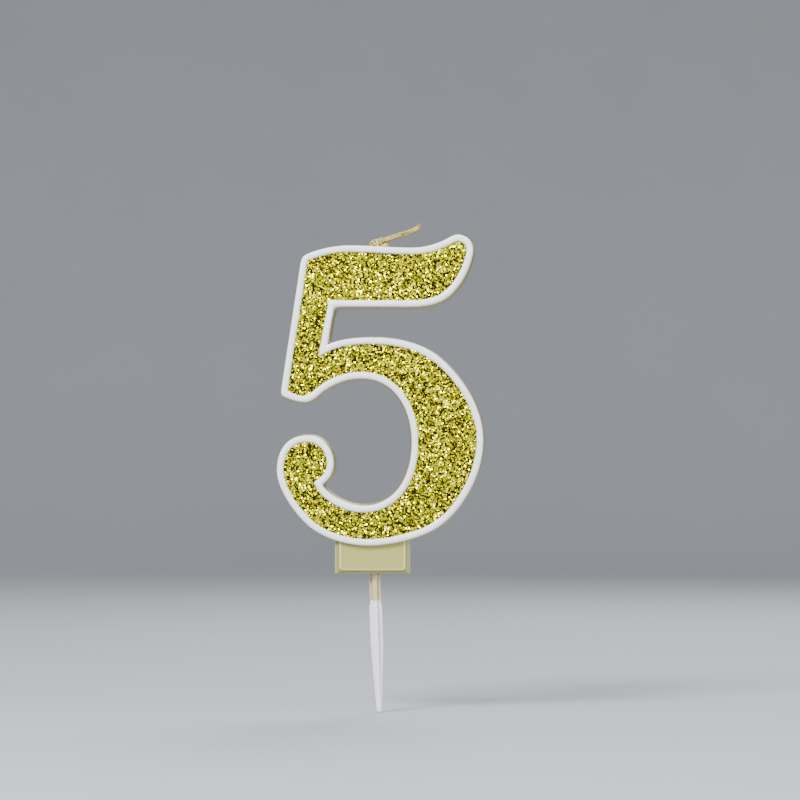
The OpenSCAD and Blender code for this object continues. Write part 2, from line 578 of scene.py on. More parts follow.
    def ring(self, inset: float, round_corners: float = 1.0) -> np.ndarray:
        """A loop drawn in from the outline.

        Args:
            inset: Distance inward in metres; below zero is outside the outline.
            round_corners: How much the outside corners are rounded, from 0 to 1.

        Returns:
            The loop's (x, z) points.
        """
        coarse = self.inner - self.inward * (self.width - inset)
        pieces = []
        marks = []
        at = 0
        for section, count in zip(self._sections(coarse), self.counts, strict=True):
            marks.append(at)
            fine = smooth_curve(section, self.spacing / 3)
            steps = np.concatenate(
                [[0], np.cumsum(np.linalg.norm(np.diff(fine, axis=0), axis=1))]
            )
            even = np.linspace(0, steps[-1], count, endpoint=False)
            pieces.append(
                np.column_stack([np.interp(even, steps, fine[:, k]) for k in (0, 1)])
            )
            at += count
        loop = np.vstack(pieces)
        share = min(1.2, max(0.0, (self.width - inset) / self.width))
        for mark, convex in zip(marks, self.convex, strict=True):
            passes = round(self.rounding * share * round_corners) + 1 if convex else 2
            window = (mark + np.arange(-passes - 3, passes + 4)) % len(loop)
            for _ in range(passes):
                before = loop[(window - 1) % len(loop)]
                after = loop[(window + 1) % len(loop)]
                loop[window] = 0.5 * loop[window] + 0.25 * (before + after)
        return loop

    def wave(self, seed: float, scale: float) -> np.ndarray:
        """Unevenness for each point of a loop; see loop_wave."""
        return loop_wave(sum(self.counts), self.spacing, seed, scale)

    def distance_inside(self, points: np.ndarray) -> np.ndarray:
        """How far inside the border's inner edge each point is; below zero is outside."""
        side = np.where(inside_loop(points, self.inner), 1.0, -1.0)
        return side * segment_distance(points, self.inner)


def segment_distance(points: np.ndarray, loop: np.ndarray) -> np.ndarray:
    """The distance from each point to the nearest side of a loop.

    Args:
        points: N by 2 points.
        loop: M by 2 points of a closed loop.

    Returns:
        N distances.
    """
    a = loop
    d = np.roll(loop, -1, axis=0) - loop
    length = np.maximum(np.sum(d * d, axis=1), 1e-18)
    best = np.full(len(points), 1e9)
    for start in range(0, len(points), 2000):
        p = points[start : start + 2000, None, :] - a[None]
        t = np.clip(np.sum(p * d[None], axis=2) / length, 0, 1)
        gap = np.linalg.norm(p - t[..., None] * d[None], axis=2)
        best[start : start + 2000] = gap.min(axis=1)
    return best


def inside_loop(points: np.ndarray, loop: np.ndarray) -> np.ndarray:
    """Tells which points lie inside a loop.

    Args:
        points: N by 2 points.
        loop: M by 2 points of a closed loop.

    Returns:
        N values, true for a point inside.
    """
    x, z = points[:, 0][:, None], points[:, 1][:, None]
    x1, z1 = loop[:, 0][None], loop[:, 1][None]
    x2, z2 = np.roll(loop[:, 0], -1)[None], np.roll(loop[:, 1], -1)[None]
    with np.errstate(divide="ignore", invalid="ignore"):
        crossing = ((z1 > z) != (z2 > z)) & (x < (x2 - x1) * (z - z1) / (z2 - z1) + x1)
    return (np.sum(crossing, axis=1) % 2) == 1


def at_depth(loop: np.ndarray, depth: float | np.ndarray) -> np.ndarray:
    """Stands an (x, z) loop up in the row's frame at the given y."""
    return np.column_stack([loop[:, 0], np.broadcast_to(depth, len(loop)), loop[:, 1]])


def fill_loop(loop: np.ndarray) -> list[tuple[int, ...]]:
    """Triangles that fill a loop of (x, z) points."""
    flat = [Vector((x, z, 0)) for x, z in loop]
    return [tuple(t) for t in geometry.tessellate_polygon([flat])]


def uneven_face(
    edge: np.ndarray, spacing: float, swell: float, seed: float
) -> tuple[np.ndarray, list[tuple[int, ...]]]:
    """Fills a loop with an even net of points that dips and swells a little.

    Args:
        edge: The loop, N by 3 points at nearly one depth.
        spacing: Distance between the net's points.
        swell: Height of the unevenness toward +Y or, below zero, toward -Y.
        seed: Picks the pattern.

    Returns:
        The points and faces; the points along the edge stay where they were.
    """
    loop = edge[:, [0, 2]]
    low, high = loop.min(0), loop.max(0)
    xs = np.arange(low[0], high[0], spacing)
    zs = np.arange(low[1], high[1], spacing * 0.9)
    net = np.array([(x + (k % 2) * spacing / 2, z) for k, z in enumerate(zs) for x in xs])
    net = net[inside_loop(net, loop)]
    net = net[segment_distance(net, loop) > 0.6 * spacing]
    verts, _, faces, *_ = geometry.delaunay_2d_cdt(
        [Vector(p) for p in np.vstack([loop, net])], [], [list(range(len(loop)))], 1, 1e-7
    )
    flat = np.array([(v[0], v[1]) for v in verts])
    gap = segment_distance(flat, loop)
    depth = np.full(len(flat), edge[:, 1].mean())
    for i, (x, z) in enumerate(flat):
        if gap[i] < 1e-6:
            depth[i] = edge[int(np.argmin(np.sum((loop - flat[i]) ** 2, axis=1))), 1]
            continue
        broad = noise.noise(Vector((x / (7 * MM), z / (9 * MM), seed)))
        ripple = noise.noise(Vector((x / (2.2 * MM), z / (3 * MM), seed + 4.9)))
        share = min(1.0, gap[i] / (1.5 * MM))
        depth[i] += share * swell * (1.0 + broad + 0.35 * ripple)
    return np.column_stack([flat[:, 0], depth, flat[:, 1]]), [tuple(f) for f in faces]


# --------------------------------------------------------------------------------------
# Shader groups and finishes
# --------------------------------------------------------------------------------------


class ShaderGroups:
    """Shader node groups that more than one finish uses, each built once."""

    def __init__(self) -> None:
        """Builds the groups."""
        self.mottle = self._mottle()
        self.grain = self._grain()
        # Painted highlight on raised edges and painted shade in hollows.
        self.painted_edge_light = self._painted_edge_light()
        self.settled_dust = self._settled_dust()

    @staticmethod
    def _new(
        name: str, inputs: dict[str, tuple[str, object]], outputs: dict[str, str]
    ) -> tuple[bpy.types.NodeTree, bpy.types.Node, bpy.types.Node]:
        """Starts a group.

        Args:
            name: The group's name.
            inputs: Socket name to its type and default.
            outputs: Socket name to its type.

        Returns:
            The tree, its input node and its output node.
        """
        tree = bpy.data.node_groups.new(name, "ShaderNodeTree")
        for key, (kind, default) in inputs.items():
            made = tree.interface.new_socket(name=key, in_out="INPUT", socket_type=kind)
            if default is not None:
                made.default_value = default
        for key, kind in outputs.items():
            tree.interface.new_socket(name=key, in_out="OUTPUT", socket_type=kind)
        return tree, tree.nodes.new("NodeGroupInput"), tree.nodes.new("NodeGroupOutput")

    def _mottle(self) -> bpy.types.NodeTree:
        """Two colours mixed in soft patches, with finer speckle on top.

        Returns:
            The group.
        """
        tree, given, out = self._new(
            "Mottle",
            {
                "Vector": ("NodeSocketVector", None),
                "Scale": ("NodeSocketFloat", 300.0),
                "Fine Scale": ("NodeSocketFloat", 2000.0),
                "Contrast": ("NodeSocketFloat", 0.5),
                "Color A": ("NodeSocketColor", (0.5, 0.5, 0.5, 1)),
                "Color B": ("NodeSocketColor", (0.6, 0.6, 0.6, 1)),
            },
            {"Color": "NodeSocketColor", "Mask": "NodeSocketFloat"},
        )
        n, link = tree.nodes, tree.links.new
        wide = n.new("ShaderNodeTexNoise")
        wide.inputs["Detail"].default_value = 3
        fine = n.new("ShaderNodeTexNoise")
        fine.inputs["Detail"].default_value = 2
        half = n.new("ShaderNodeMath")
        half.operation = "MULTIPLY_ADD"
        half.inputs[1].default_value = 0.35
        spread = n.new("ShaderNodeMath")
        spread.operation = "MULTIPLY_ADD"
        centre = n.new("ShaderNodeMath")
        centre.operation = "SUBTRACT"
        centre.inputs[1].default_value = 0.675
        clamp = n.new("ShaderNodeClamp")
        mix = n.new("ShaderNodeMix")
        mix.data_type = "RGBA"
        link(given.outputs["Vector"], wide.inputs["Vector"])
        link(given.outputs["Vector"], fine.inputs["Vector"])
        link(given.outputs["Scale"], wide.inputs["Scale"])
        link(given.outputs["Fine Scale"], fine.inputs["Scale"])
        link(fine.outputs["Fac"], half.inputs[0])
        link(wide.outputs["Fac"], half.inputs[2])
        link(half.outputs[0], centre.inputs[0])
        link(centre.outputs[0], spread.inputs[0])
        link(given.outputs["Contrast"], spread.inputs[1])
        spread.inputs[2].default_value = 0.5
        link(spread.outputs[0], clamp.inputs["Value"])
        link(clamp.outputs[0], mix.inputs["Factor"])
        link(given.outputs["Color A"], mix.inputs["A"])
        link(given.outputs["Color B"], mix.inputs["B"])
        link(mix.outputs["Result"], out.inputs["Color"])
        link(clamp.outputs[0], out.inputs["Mask"])
        return tree

    def _grain(self) -> bpy.types.NodeTree:
        """A height for fine grain over soft waves.

        Returns:
            The group.
        """
        tree, given, out = self._new(
            "Grain",
            {
                "Vector": ("NodeSocketVector", None),
                "Wave Scale": ("NodeSocketFloat", 200.0),
                "Grain Scale": ("NodeSocketFloat", 3000.0),
                "Grain Share": ("NodeSocketFloat", 0.3),
            },
            {"Height": "NodeSocketFloat"},
        )
        n, link = tree.nodes, tree.links.new
        soft = n.new("ShaderNodeTexNoise")
        soft.inputs["Detail"].default_value = 2
        hard = n.new("ShaderNodeTexNoise")
        hard.inputs["Detail"].default_value = 4
        mix = n.new("ShaderNodeMix")
        link(given.outputs["Vector"], soft.inputs["Vector"])
        link(given.outputs["Vector"], hard.inputs["Vector"])
        link(given.outputs["Wave Scale"], soft.inputs["Scale"])
        link(given.outputs["Grain Scale"], hard.inputs["Scale"])
        link(given.outputs["Grain Share"], mix.inputs["Factor"])
        link(soft.outputs["Fac"], mix.inputs["A"])
        link(hard.outputs["Fac"], mix.inputs["B"])
        link(mix.outputs["Result"], out.inputs["Height"])
        return tree

    def _painted_edge_light(self) -> bpy.types.NodeTree:
        """Paints a highlight on raised edges and shade into hollows.

        Returns:
            The group.
        """
        tree, given, out = self._new(
            "Painted Edge Light",
            {
                "Color": ("NodeSocketColor", (0.5, 0.5, 0.5, 1)),
                "Edge Color": ("NodeSocketColor", (1, 1, 1, 1)),
                "Hollow Color": ("NodeSocketColor", (0, 0, 0, 1)),
                "Amount": ("NodeSocketFloat", 0.5),
            },
            {"Color": "NodeSocketColor"},
        )
        n, link = tree.nodes, tree.links.new
        shape = n.new("ShaderNodeAttribute")
        shape.attribute_name = "ridge"
        raised = n.new("ShaderNodeMapRange")
        raised.inputs["From Min"].default_value = 0.505
        raised.inputs["From Max"].default_value = 0.6
        sunk = n.new("ShaderNodeMapRange")
        sunk.inputs["From Min"].default_value = 0.495
        sunk.inputs["From Max"].default_value = 0.4
        up = n.new("ShaderNodeMath")
        up.operation = "MULTIPLY"
        down = n.new("ShaderNodeMath")
        down.operation = "MULTIPLY"
        first = n.new("ShaderNodeMix")
        first.data_type = "RGBA"
        second = n.new("ShaderNodeMix")
        second.data_type = "RGBA"
        link(shape.outputs["Fac"], raised.inputs["Value"])
        link(shape.outputs["Fac"], sunk.inputs["Value"])
        link(raised.outputs["Result"], up.inputs[0])
        link(given.outputs["Amount"], up.inputs[1])
        link(sunk.outputs["Result"], down.inputs[0])
        link(given.outputs["Amount"], down.inputs[1])
        link(up.outputs[0], first.inputs["Factor"])
        link(given.outputs["Color"], first.inputs["A"])
        link(given.outputs["Edge Color"], first.inputs["B"])
        link(down.outputs[0], second.inputs["Factor"])
        link(first.outputs["Result"], second.inputs["A"])
        link(given.outputs["Hollow Color"], second.inputs["B"])
        link(second.outputs["Result"], out.inputs["Color"])
        return tree

    def _settled_dust(self) -> bpy.types.NodeTree:
        """A mask of scattered fine specks, such as dust and loose glitter powder.

        Returns:
            The group.
        """
        tree, given, out = self._new(
            "Settled Dust",
            {
                "Vector": ("NodeSocketVector", None),
                "Scale": ("NodeSocketFloat", 1500.0),
                "Share": ("NodeSocketFloat", 0.05),
            },
            {"Mask": "NodeSocketFloat"},
        )
        n, link = tree.nodes, tree.links.new
        cells = n.new("ShaderNodeTexVoronoi")
        ragged = n.new("ShaderNodeTexNoise")
        ragged.inputs["Detail"].default_value = 2
        ripple = n.new("ShaderNodeMath")
        ripple.operation = "MULTIPLY"
        ripple.inputs[1].default_value = 4.0
        reach = n.new("ShaderNodeMath")
        reach.operation = "MULTIPLY_ADD"
        reach.inputs[1].default_value = 0.32
        reach.inputs[2].default_value = -0.06
        near = n.new("ShaderNodeMath")
        near.operation = "LESS_THAN"
        pick = n.new("ShaderNodeSeparateColor")
        chosen = n.new("ShaderNodeMath")
        chosen.operation = "LESS_THAN"
        both = n.new("ShaderNodeMath")
        both.operation = "MULTIPLY"
        link(given.outputs["Vector"], cells.inputs["Vector"])
        link(given.outputs["Scale"], cells.inputs["Scale"])
        link(given.outputs["Vector"], ragged.inputs["Vector"])
        link(given.outputs["Scale"], ripple.inputs[0])
        link(ripple.outputs[0], ragged.inputs["Scale"])
        link(ragged.outputs["Fac"], reach.inputs[0])
        link(cells.outputs["Distance"], near.inputs[0])
        link(reach.outputs[0], near.inputs[1])
        link(cells.outputs["Color"], pick.inputs["Color"])
        link(pick.outputs["Red"], chosen.inputs[0])
        link(given.outputs["Share"], chosen.inputs[1])
        link(near.outputs[0], both.inputs[0])
        link(chosen.outputs[0], both.inputs[1])
        link(both.outputs[0], out.inputs["Mask"])
        return tree


Colour = tuple[float, float, float]


@dataclass(frozen=True)
class Finish:
    """A solid finish: mottled colour, a painted highlight on raised edges and painted shade in
    hollows, dust specks, grain and gloss.

    Colours are linear red, green and blue. Scales are in turns per metre.
    """

    name: str
    light: Colour
    dark: Colour
    # Painted highlight colour for raised edges.
    edge: Colour
    # Painted shade colour for hollows.
    hollow_shade: Colour
    speck: Colour
    roughness: float = 0.5
    roughness_spread: float = 0.1
    metallic: float = 0.0
    coat: float = 0.0
    coat_roughness: float = 0.2
    subsurface: float = 0.0
    subsurface_radius: Colour = (0.002, 0.0015, 0.0008)
    mottle_scale: float = 260.0
    fine_scale: float = 2400.0
    contrast: float = 2.2
    # Strength of the painted edge highlight and hollow shade.
    painted_edge_light_amount: float = 0.5
    speck_scale: float = 1200.0
    speck_share: float = 0.02
    wave_scale: float = 260.0
    grain_scale: float = 4200.0
    grain_share: float = 0.35
    bump: float = 0.15
    bump_depth: float = 0.0001
    # How far the tone attribute's bands mix toward the painted highlight and painted shade
    # colours; only the foot's finish uses it.
    painted_light_mix: float = 0.0

    def build(self, groups: ShaderGroups) -> bpy.types.Material:
        """Makes the material.

        Args:
            groups: The shared shader groups.

        Returns:
            The new material.
        """
        made = bpy.data.materials.new(self.name)
        made.use_nodes = True
        n, link = made.node_tree.nodes, made.node_tree.links.new
        shader = n["Principled BSDF"]
        place = n.new("ShaderNodeTexCoord")

        def group(tree: bpy.types.NodeTree, **values: object) -> bpy.types.Node:
            """Places a group node.

            Args:
                tree: The group.
                values: Its inputs, named with _ for a space.

            Returns:
                The node.
            """
            node = n.new("ShaderNodeGroup")
            node.node_tree = tree
            for key, value in values.items():
                node.inputs[key.replace("_", " ")].default_value = value
            if "Vector" in node.inputs:
                link(place.outputs["Object"], node.inputs["Vector"])
            return node

        mottle = group(
            groups.mottle,
            Scale=self.mottle_scale,
            Fine_Scale=self.fine_scale,
            Contrast=self.contrast,
            Color_A=(*self.dark, 1),
            Color_B=(*self.light, 1),
        )
        # Painted highlight on raised edges and painted shade in hollows.
        edges = group(
            groups.painted_edge_light,
            Edge_Color=(*self.edge, 1),
            Hollow_Color=(*self.hollow_shade, 1),
            Amount=self.painted_edge_light_amount,
        )
        dust = group(groups.settled_dust, Scale=self.speck_scale, Share=self.speck_share)
        speckled = n.new("ShaderNodeMix")
        speckled.data_type = "RGBA"
        speckled.inputs["B"].default_value = (*self.speck, 1)
        coloured = mottle.outputs["Color"]
        # Tones above 0.5 mix toward the painted highlight colour, and tones below toward the
        # painted shade colour.
        if self.painted_light_mix:
            tone = n.new("ShaderNodeAttribute")
            tone.attribute_name = "tone"
            for colour, full in ((self.edge, 1.0), (self.hollow_shade, 0.0)):
                share = n.new("ShaderNodeMapRange")
                share.inputs["From Min"].default_value = 0.5
                share.inputs["From Max"].default_value = full
                share.inputs["To Max"].default_value = self.painted_light_mix
                painted_light_band = n.new("ShaderNodeMix")
                painted_light_band.data_type = "RGBA"
                painted_light_band.inputs["B"].default_value = (*colour, 1)
                link(tone.outputs["Fac"], share.inputs["Value"])
                link(share.outputs["Result"], painted_light_band.inputs["Factor"])
                link(coloured, painted_light_band.inputs["A"])
                coloured = painted_light_band.outputs["Result"]
        link(coloured, edges.inputs["Color"])
        link(dust.outputs["Mask"], speckled.inputs["Factor"])
        link(edges.outputs["Color"], speckled.inputs["A"])
        link(speckled.outputs["Result"], shader.inputs["Base Color"])
        rough = n.new("ShaderNodeMapRange")
        rough.inputs["To Min"].default_value = self.roughness + self.roughness_spread
        rough.inputs["To Max"].default_value = self.roughness - self.roughness_spread
        link(mottle.outputs["Mask"], rough.inputs["Value"])
        link(rough.outputs["Result"], shader.inputs["Roughness"])
        grain = group(
            groups.grain,
            Wave_Scale=self.wave_scale,
            Grain_Scale=self.grain_scale,
            Grain_Share=self.grain_share,
        )
        bump = n.new("ShaderNodeBump")
        bump.inputs["Strength"].default_value = self.bump
        bump.inputs["Distance"].default_value = self.bump_depth
        link(grain.outputs["Height"], bump.inputs["Height"])
        link(bump.outputs["Normal"], shader.inputs["Normal"])
        shader.inputs["Metallic"].default_value = self.metallic
        shader.inputs["Coat Weight"].default_value = self.coat
        shader.inputs["Coat Roughness"].default_value = self.coat_roughness
        if self.subsurface:
            shader.inputs["Subsurface Weight"].default_value = self.subsurface
            shader.inputs["Subsurface Radius"].default_value = self.subsurface_radius
            shader.inputs["Subsurface Scale"].default_value = 1.0
        return made


@dataclass(frozen=True)
class GlitterFinish:
    """Metallised film flakes: each face takes its colour from its own tone."""

    name: str
    stops: tuple[tuple[float, Colour], ...]
    roughness: float = 0.3
    dull: float = 0.16
    metallic: float = 1.0
    tint_scale: float = 900.0
    tint_fine_scale: float = 9000.0
    tint_contrast: float = 2.4
    warm: Colour = (1.0, 0.86, 0.8)
    cool: Colour = (0.92, 1.0, 0.95)

    def build(self, groups: ShaderGroups) -> bpy.types.Material:
        """Makes the material.

        Args:
            groups: The shared shader groups.

        Returns:
            The new material.
        """
        made = bpy.data.materials.new(self.name)
        made.use_nodes = True
        n, link = made.node_tree.nodes, made.node_tree.links.new
        shader = n["Principled BSDF"]
        tone = n.new("ShaderNodeAttribute")
        tone.attribute_name = "tone"
        ramp = n.new("ShaderNodeValToRGB")
        ramp.color_ramp.interpolation = "LINEAR"
        elements = ramp.color_ramp.elements
        elements[0].position, elements[1].position = self.stops[0][0], self.stops[-1][0]
        elements[0].color = (*self.stops[0][1], 1)
        elements[1].color = (*self.stops[-1][1], 1)
        for position, colour in self.stops[1:-1]:
            extra = elements.new(position)
            extra.color = (*colour, 1)
        link(tone.outputs["Fac"], ramp.inputs["Fac"])
        place = n.new("ShaderNodeTexCoord")
        shade = n.new("ShaderNodeGroup")
        shade.node_tree = groups.mottle
        shade.inputs["Scale"].default_value = self.tint_scale
        shade.inputs["Fine Scale"].default_value = self.tint_fine_scale
        shade.inputs["Contrast"].default_value = self.tint_contrast
        shade.inputs["Color A"].default_value = (*self.warm, 1)
        shade.inputs["Color B"].default_value = (*self.cool, 1)
        link(place.outputs["Object"], shade.inputs["Vector"])
        tint = n.new("ShaderNodeMix")
        tint.data_type = "RGBA"
        tint.blend_type = "MULTIPLY"
        tint.inputs["Factor"].default_value = 1.0
        link(ramp.outputs["Color"], tint.inputs["A"])
        link(shade.outputs["Color"], tint.inputs["B"])
        link(tint.outputs["Result"], shader.inputs["Base Color"])
        rough = n.new("ShaderNodeMapRange")
        rough.inputs["To Min"].default_value = self.roughness + self.dull
        rough.inputs["To Max"].default_value = self.roughness
        link(tone.outputs["Fac"], rough.inputs["Value"])
        link(rough.outputs["Result"], shader.inputs["Roughness"])
        shader.inputs["Metallic"].default_value = self.metallic
        return made


class Finishes:
    """Every finish of the candle, by slot."""

    def __init__(self) -> None:
        """Builds the shader groups and the materials."""
        groups = ShaderGroups()
        self.by_slot: dict[Slot, bpy.types.Material] = {
            # The casting is taken to carry the same pearl gold coat as the foot; these colours
            # are set darker than the foot's as painted shade on the side walls.
            Slot.WAX_GOLD: Finish(
                "gold coated wax with painted side shade",
                light=(0.3, 0.255, 0.07),
                dark=(0.245, 0.205, 0.055),
                edge=(0.6, 0.55, 0.32),
                hollow_shade=(0.16, 0.14, 0.06),
                speck=(0.44, 0.39, 0.16),
                roughness=0.38,
                roughness_spread=0.05,
                metallic=0.45,
                mottle_scale=260,
                fine_scale=5200,
                contrast=1.5,
                painted_edge_light_amount=0.5,
                speck_scale=2600,
                speck_share=0.02,
                grain_share=0.5,
                bump=0.2,
            ).build(groups),
            Slot.WAX_PEARL: Finish(
                "pearl coated wax",
                light=(0.4, 0.385, 0.12),
                dark=(0.35, 0.335, 0.1),
                edge=(0.84, 0.82, 0.5),
                hollow_shade=(0.17, 0.15, 0.06),
                speck=(0.52, 0.5, 0.24),
                roughness=0.42,
                roughness_spread=0.06,
                metallic=0.12,
                subsurface=0.06,
                mottle_scale=420,
                fine_scale=6000,
                contrast=1.6,
                painted_edge_light_amount=0.6,
                speck_scale=2800,
                speck_share=0.03,
                bump=0.2,
                # Painted highlight and shade bands on the foot's sloped edge.
                painted_light_mix=0.8,
            ).build(groups),
            Slot.BORDER: Finish(
                "white wax paint",
                light=(0.93, 0.92, 0.94),
                dark=(0.86, 0.85, 0.88),
                edge=(0.95, 0.94, 0.96),
                hollow_shade=(0.8, 0.78, 0.76),
                speck=(0.88, 0.85, 0.7),
                roughness=0.38,
                coat=0.15,
                coat_roughness=0.25,
                subsurface=0.15,
                mottle_scale=500,
                bump=0.15,
                painted_edge_light_amount=0.3,
                speck_share=0.008,
            ).build(groups),
            Slot.GLUE: Finish(
                "dried glue over gold",
                light=(0.36, 0.31, 0.08),
                dark=(0.2, 0.17, 0.04),
                edge=(0.5, 0.45, 0.15),
                hollow_shade=(0.1, 0.08, 0.02),
                speck=(0.85, 0.8, 0.3),
                roughness=0.2,
                coat=0.5,
                mottle_scale=900,
                speck_share=0.2,
                bump=0.4,
            ).build(groups),
            Slot.GLITTER: GlitterFinish(
                "gold film glitter",
                stops=(
                    (0.0, (0.006, 0.005, 0.0006)),
                    (0.3, (0.07, 0.06, 0.0015)),
                    (0.5, (0.42, 0.39, 0.006)),
                    (0.75, (0.96, 0.93, 0.012)),
                    (1.0, (1.0, 0.99, 0.05)),
                ),
            ).build(groups),
            Slot.COTTON: Finish(
                "lacquered cotton",
                light=(0.36, 0.29, 0.07),
                dark=(0.13, 0.098, 0.02),
                edge=(0.7, 0.62, 0.28),
                hollow_shade=(0.03, 0.02, 0.005),
                speck=(0.7, 0.62, 0.3),
                roughness=0.5,
                coat=0.12,
                coat_roughness=0.35,
                mottle_scale=1200,
                fine_scale=9000,
                contrast=2.6,
                painted_edge_light_amount=0.2,
                speck_scale=4000,
                speck_share=0.05,
                wave_scale=3500,
                grain_scale=16000,
                grain_share=0.5,
                bump=0.7,
                bump_depth=0.00005,
            ).build(groups),
            Slot.MOUND: Finish(
                "lumpy wax",
                light=(0.6, 0.5, 0.33),
                dark=(0.32, 0.25, 0.12),
                edge=(0.86, 0.8, 0.66),
                hollow_shade=(0.12, 0.09, 0.04),
                speck=(0.95, 0.9, 0.45),
                roughness=0.36,
                metallic=0.15,
                subsurface=0.05,
                mottle_scale=1800,
                fine_scale=7000,
                contrast=3.2,
                painted_edge_light_amount=0.4,
                speck_scale=3600,
                speck_share=0.25,
                wave_scale=1500,
                grain_scale=9000,
                bump=0.6,
                bump_depth=0.00008,
            ).build(groups),
            Slot.PLASTIC: Finish(
                "moulded white plastic",
                light=(0.84, 0.83, 0.87),
                dark=(0.77, 0.76, 0.8),
                edge=(0.93, 0.93, 0.96),
                hollow_shade=(0.66, 0.64, 0.68),
                speck=(0.7, 0.68, 0.66),
                roughness=0.3,
                coat=0.1,
                subsurface=0.2,
                mottle_scale=300,
                painted_edge_light_amount=0.4,
                speck_share=0.004,
                bump=0.1,
            ).build(groups),
            Slot.LACQUER: Finish(
                "pearl gold lacquer",
                light=(0.6, 0.53, 0.29),
                dark=(0.5, 0.42, 0.21),
                edge=(0.97, 0.95, 0.8),
                hollow_shade=(0.26, 0.2, 0.1),
                speck=(0.85, 0.8, 0.6),
                roughness=0.32,
                metallic=0.2,
                coat=0.25,
                mottle_scale=900,
                painted_edge_light_amount=0.8,
                speck_share=0.03,
                bump=0.2,
            ).build(groups),
        }
        self.studio = Finish(
            "studio sweep",
            light=(0.29, 0.3, 0.312),
            dark=(0.275, 0.285, 0.297),
            edge=(0.3, 0.31, 0.322),
            hollow_shade=(0.265, 0.275, 0.287),
            speck=(0.265, 0.275, 0.287),
            roughness=0.8,
            mottle_scale=20,
            fine_scale=300,
            contrast=1.0,
            speck_scale=2500,
            speck_share=0.01,
            wave_scale=30,
            grain_scale=900,
            bump=0.1,
        ).build(groups)

    def dress(self, made: bpy.types.Object, slot: Slot) -> None:
        """Gives a piece its finish.

        Args:
            made: The piece.
            slot: The record's material slot.
        """
        made.data.materials.clear()
        made.data.materials.append(self.by_slot[slot])


# --------------------------------------------------------------------------------------
# Sub-assemblies
# --------------------------------------------------------------------------------------


@dataclass
class Piece:
    """What every sub-assembly shares."""

    finishes: Finishes

    def settle(
        self,
        thing: bpy.types.Object,
        slot: Slot,
        body: Body | None,
        *nodes: str,
    ) -> None:
        """Dresses a piece, puts it on its body and hides the CAD nodes it stands for.

        Args:
            thing: The piece.
            slot: Its material slot.
            body: The body it rides on, or None to leave it on no body.
            nodes: CAD nodes that it replaces.
        """
        store_ridges(thing.data)
        self.finishes.dress(thing, slot)
        if body is not None:
            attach(thing, body.value)
        if nodes:
            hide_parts(*nodes)
        LOG.info("%s: %d faces", thing.name, len(thing.data.polygons))


@dataclass
class Casting(Piece):
    """The wax figure: flat back, drafted sides, and the sunken face under the glue."""

    outline: FigureOutline
    draft: float = 0.32 * MM
    back_round: float = 0.8 * MM
    uneven: float = 0.05 * MM

    def _profile(self) -> list[tuple[float, float]]:
        """Lays out the side's shape.

        Returns:
            Pairs of inset and y, from the back to the face.
        """
        low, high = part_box("numeral_casting")
        front, back = low.y, high.y
        deep = back - front
        return [
            (self.back_round, back),
            (0.42 * self.back_round, back - 0.05 * MM),
            (-0.2 * self.draft, back - 0.24 * MM),
            (-0.8 * self.draft, back - 0.55 * MM),
            (-self.draft, back - 0.95 * MM),
            (-0.82 * self.draft, back - 0.35 * deep),
            (-0.55 * self.draft, back - 0.55 * deep),
            (-0.3 * self.draft, back - 0.78 * deep),
            (-0.08 * self.draft, front + 0.25 * MM),
            (0.1 * MM, front),
        ]

    def build(self) -> None:
        """Builds the casting and its back."""
        parts = MeshParts()
        rings = []
        for inset, y in self._profile():
            loop = self.outline.ring(inset)
            depth = y + self.uneven * 0.6 * self.outline.wave(3.0, 5 * MM)
            rings.append(at_depth(loop, depth))
        points, faces = bridge(rings)
        parts.add(points, faces)
        front = rings[-1]
        parts.add(front, fill_loop(front[:, [0, 2]]))
        parts.add(*uneven_face(rings[0], 0.9 * MM, -self.uneven, 4.2))
        casting = parts.build("wax_figure", Shading.SMOOTH)
        weld(casting, 0.002 * MM)
        recalc_outward(casting)
        self.settle(casting, Slot.WAX_GOLD, Body.CANDLE, "numeral_casting")


@dataclass
class Border(Piece):
    """The raised white border, a rounded bead that laps a little down the sides."""

    outline: FigureOutline
    lap: float = 0.2 * MM
    wander: float = 0.035 * MM
    depth_wander: float = 0.02 * MM

    def _profile(self) -> list[tuple[float, float, float]]:
        """Lays out the bead's section.

        Returns:
            Inset, y and the share of the ragged lower edge, once round the section.
        """
        low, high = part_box("border_bead")
        top, foot = low.y, high.y
        w = self.outline.width
        tall = foot - top
        return [
            (0.05 * MM, foot + self.lap, 1.0),
            (0.07 * MM, foot - 0.05 * MM, 0.3),
            (0.09 * MM, top + 0.52 * tall, 0.0),
            (0.16 * MM, top + 0.26 * tall, 0.0),
            (0.28 * MM, top + 0.09 * tall, 0.0),
            (0.47 * MM, top + 0.015 * tall, 0.0),
            (0.5 * w, top - 0.01 * MM, 0.0),
            (w - 0.46 * MM, top + 0.02 * tall, 0.0),
            (w - 0.24 * MM, top + 0.1 * tall, 0.0),
            (w - 0.08 * MM, top + 0.27 * tall, 0.0),
            (w + 0.01 * MM, top + 0.5 * tall, 0.0),
            (w + 0.03 * MM, foot - 0.1 * MM, 0.0),
            (0.5 * w, foot - 0.02 * MM, 0.0),
        ]

    def build(self) -> None:
        """Builds the bead as one closed loop of rings."""
        rings = []
        for inset, y, lap in self._profile():
            loop = self.outline.ring(inset)
            drift = self.wander * self.outline.wave(5.0, 4 * MM)
            if inset <= self.outline.width / 2:
                drift = 0.4 * drift
            step = loop - self.outline.ring(inset + 0.1 * MM)
            length = np.maximum(np.linalg.norm(step, axis=1), 1e-9)[:, None]
            loop = loop + step / length * drift[:, None]
            depth = y + self.depth_wander * self.outline.wave(8.0, 6 * MM)
            depth = depth + lap * self.lap * 0.7 * self.outline.wave(11.0, 2.5 * MM)
            rings.append(at_depth(loop, depth))
        points, faces = bridge(rings, closed=True)
        parts = MeshParts()
        parts.add(points, faces)
        bead = parts.build("border", Shading.SMOOTH)
        recalc_outward(bead)
        self.settle(bead, Slot.BORDER, Body.CANDLE, "border_bead")


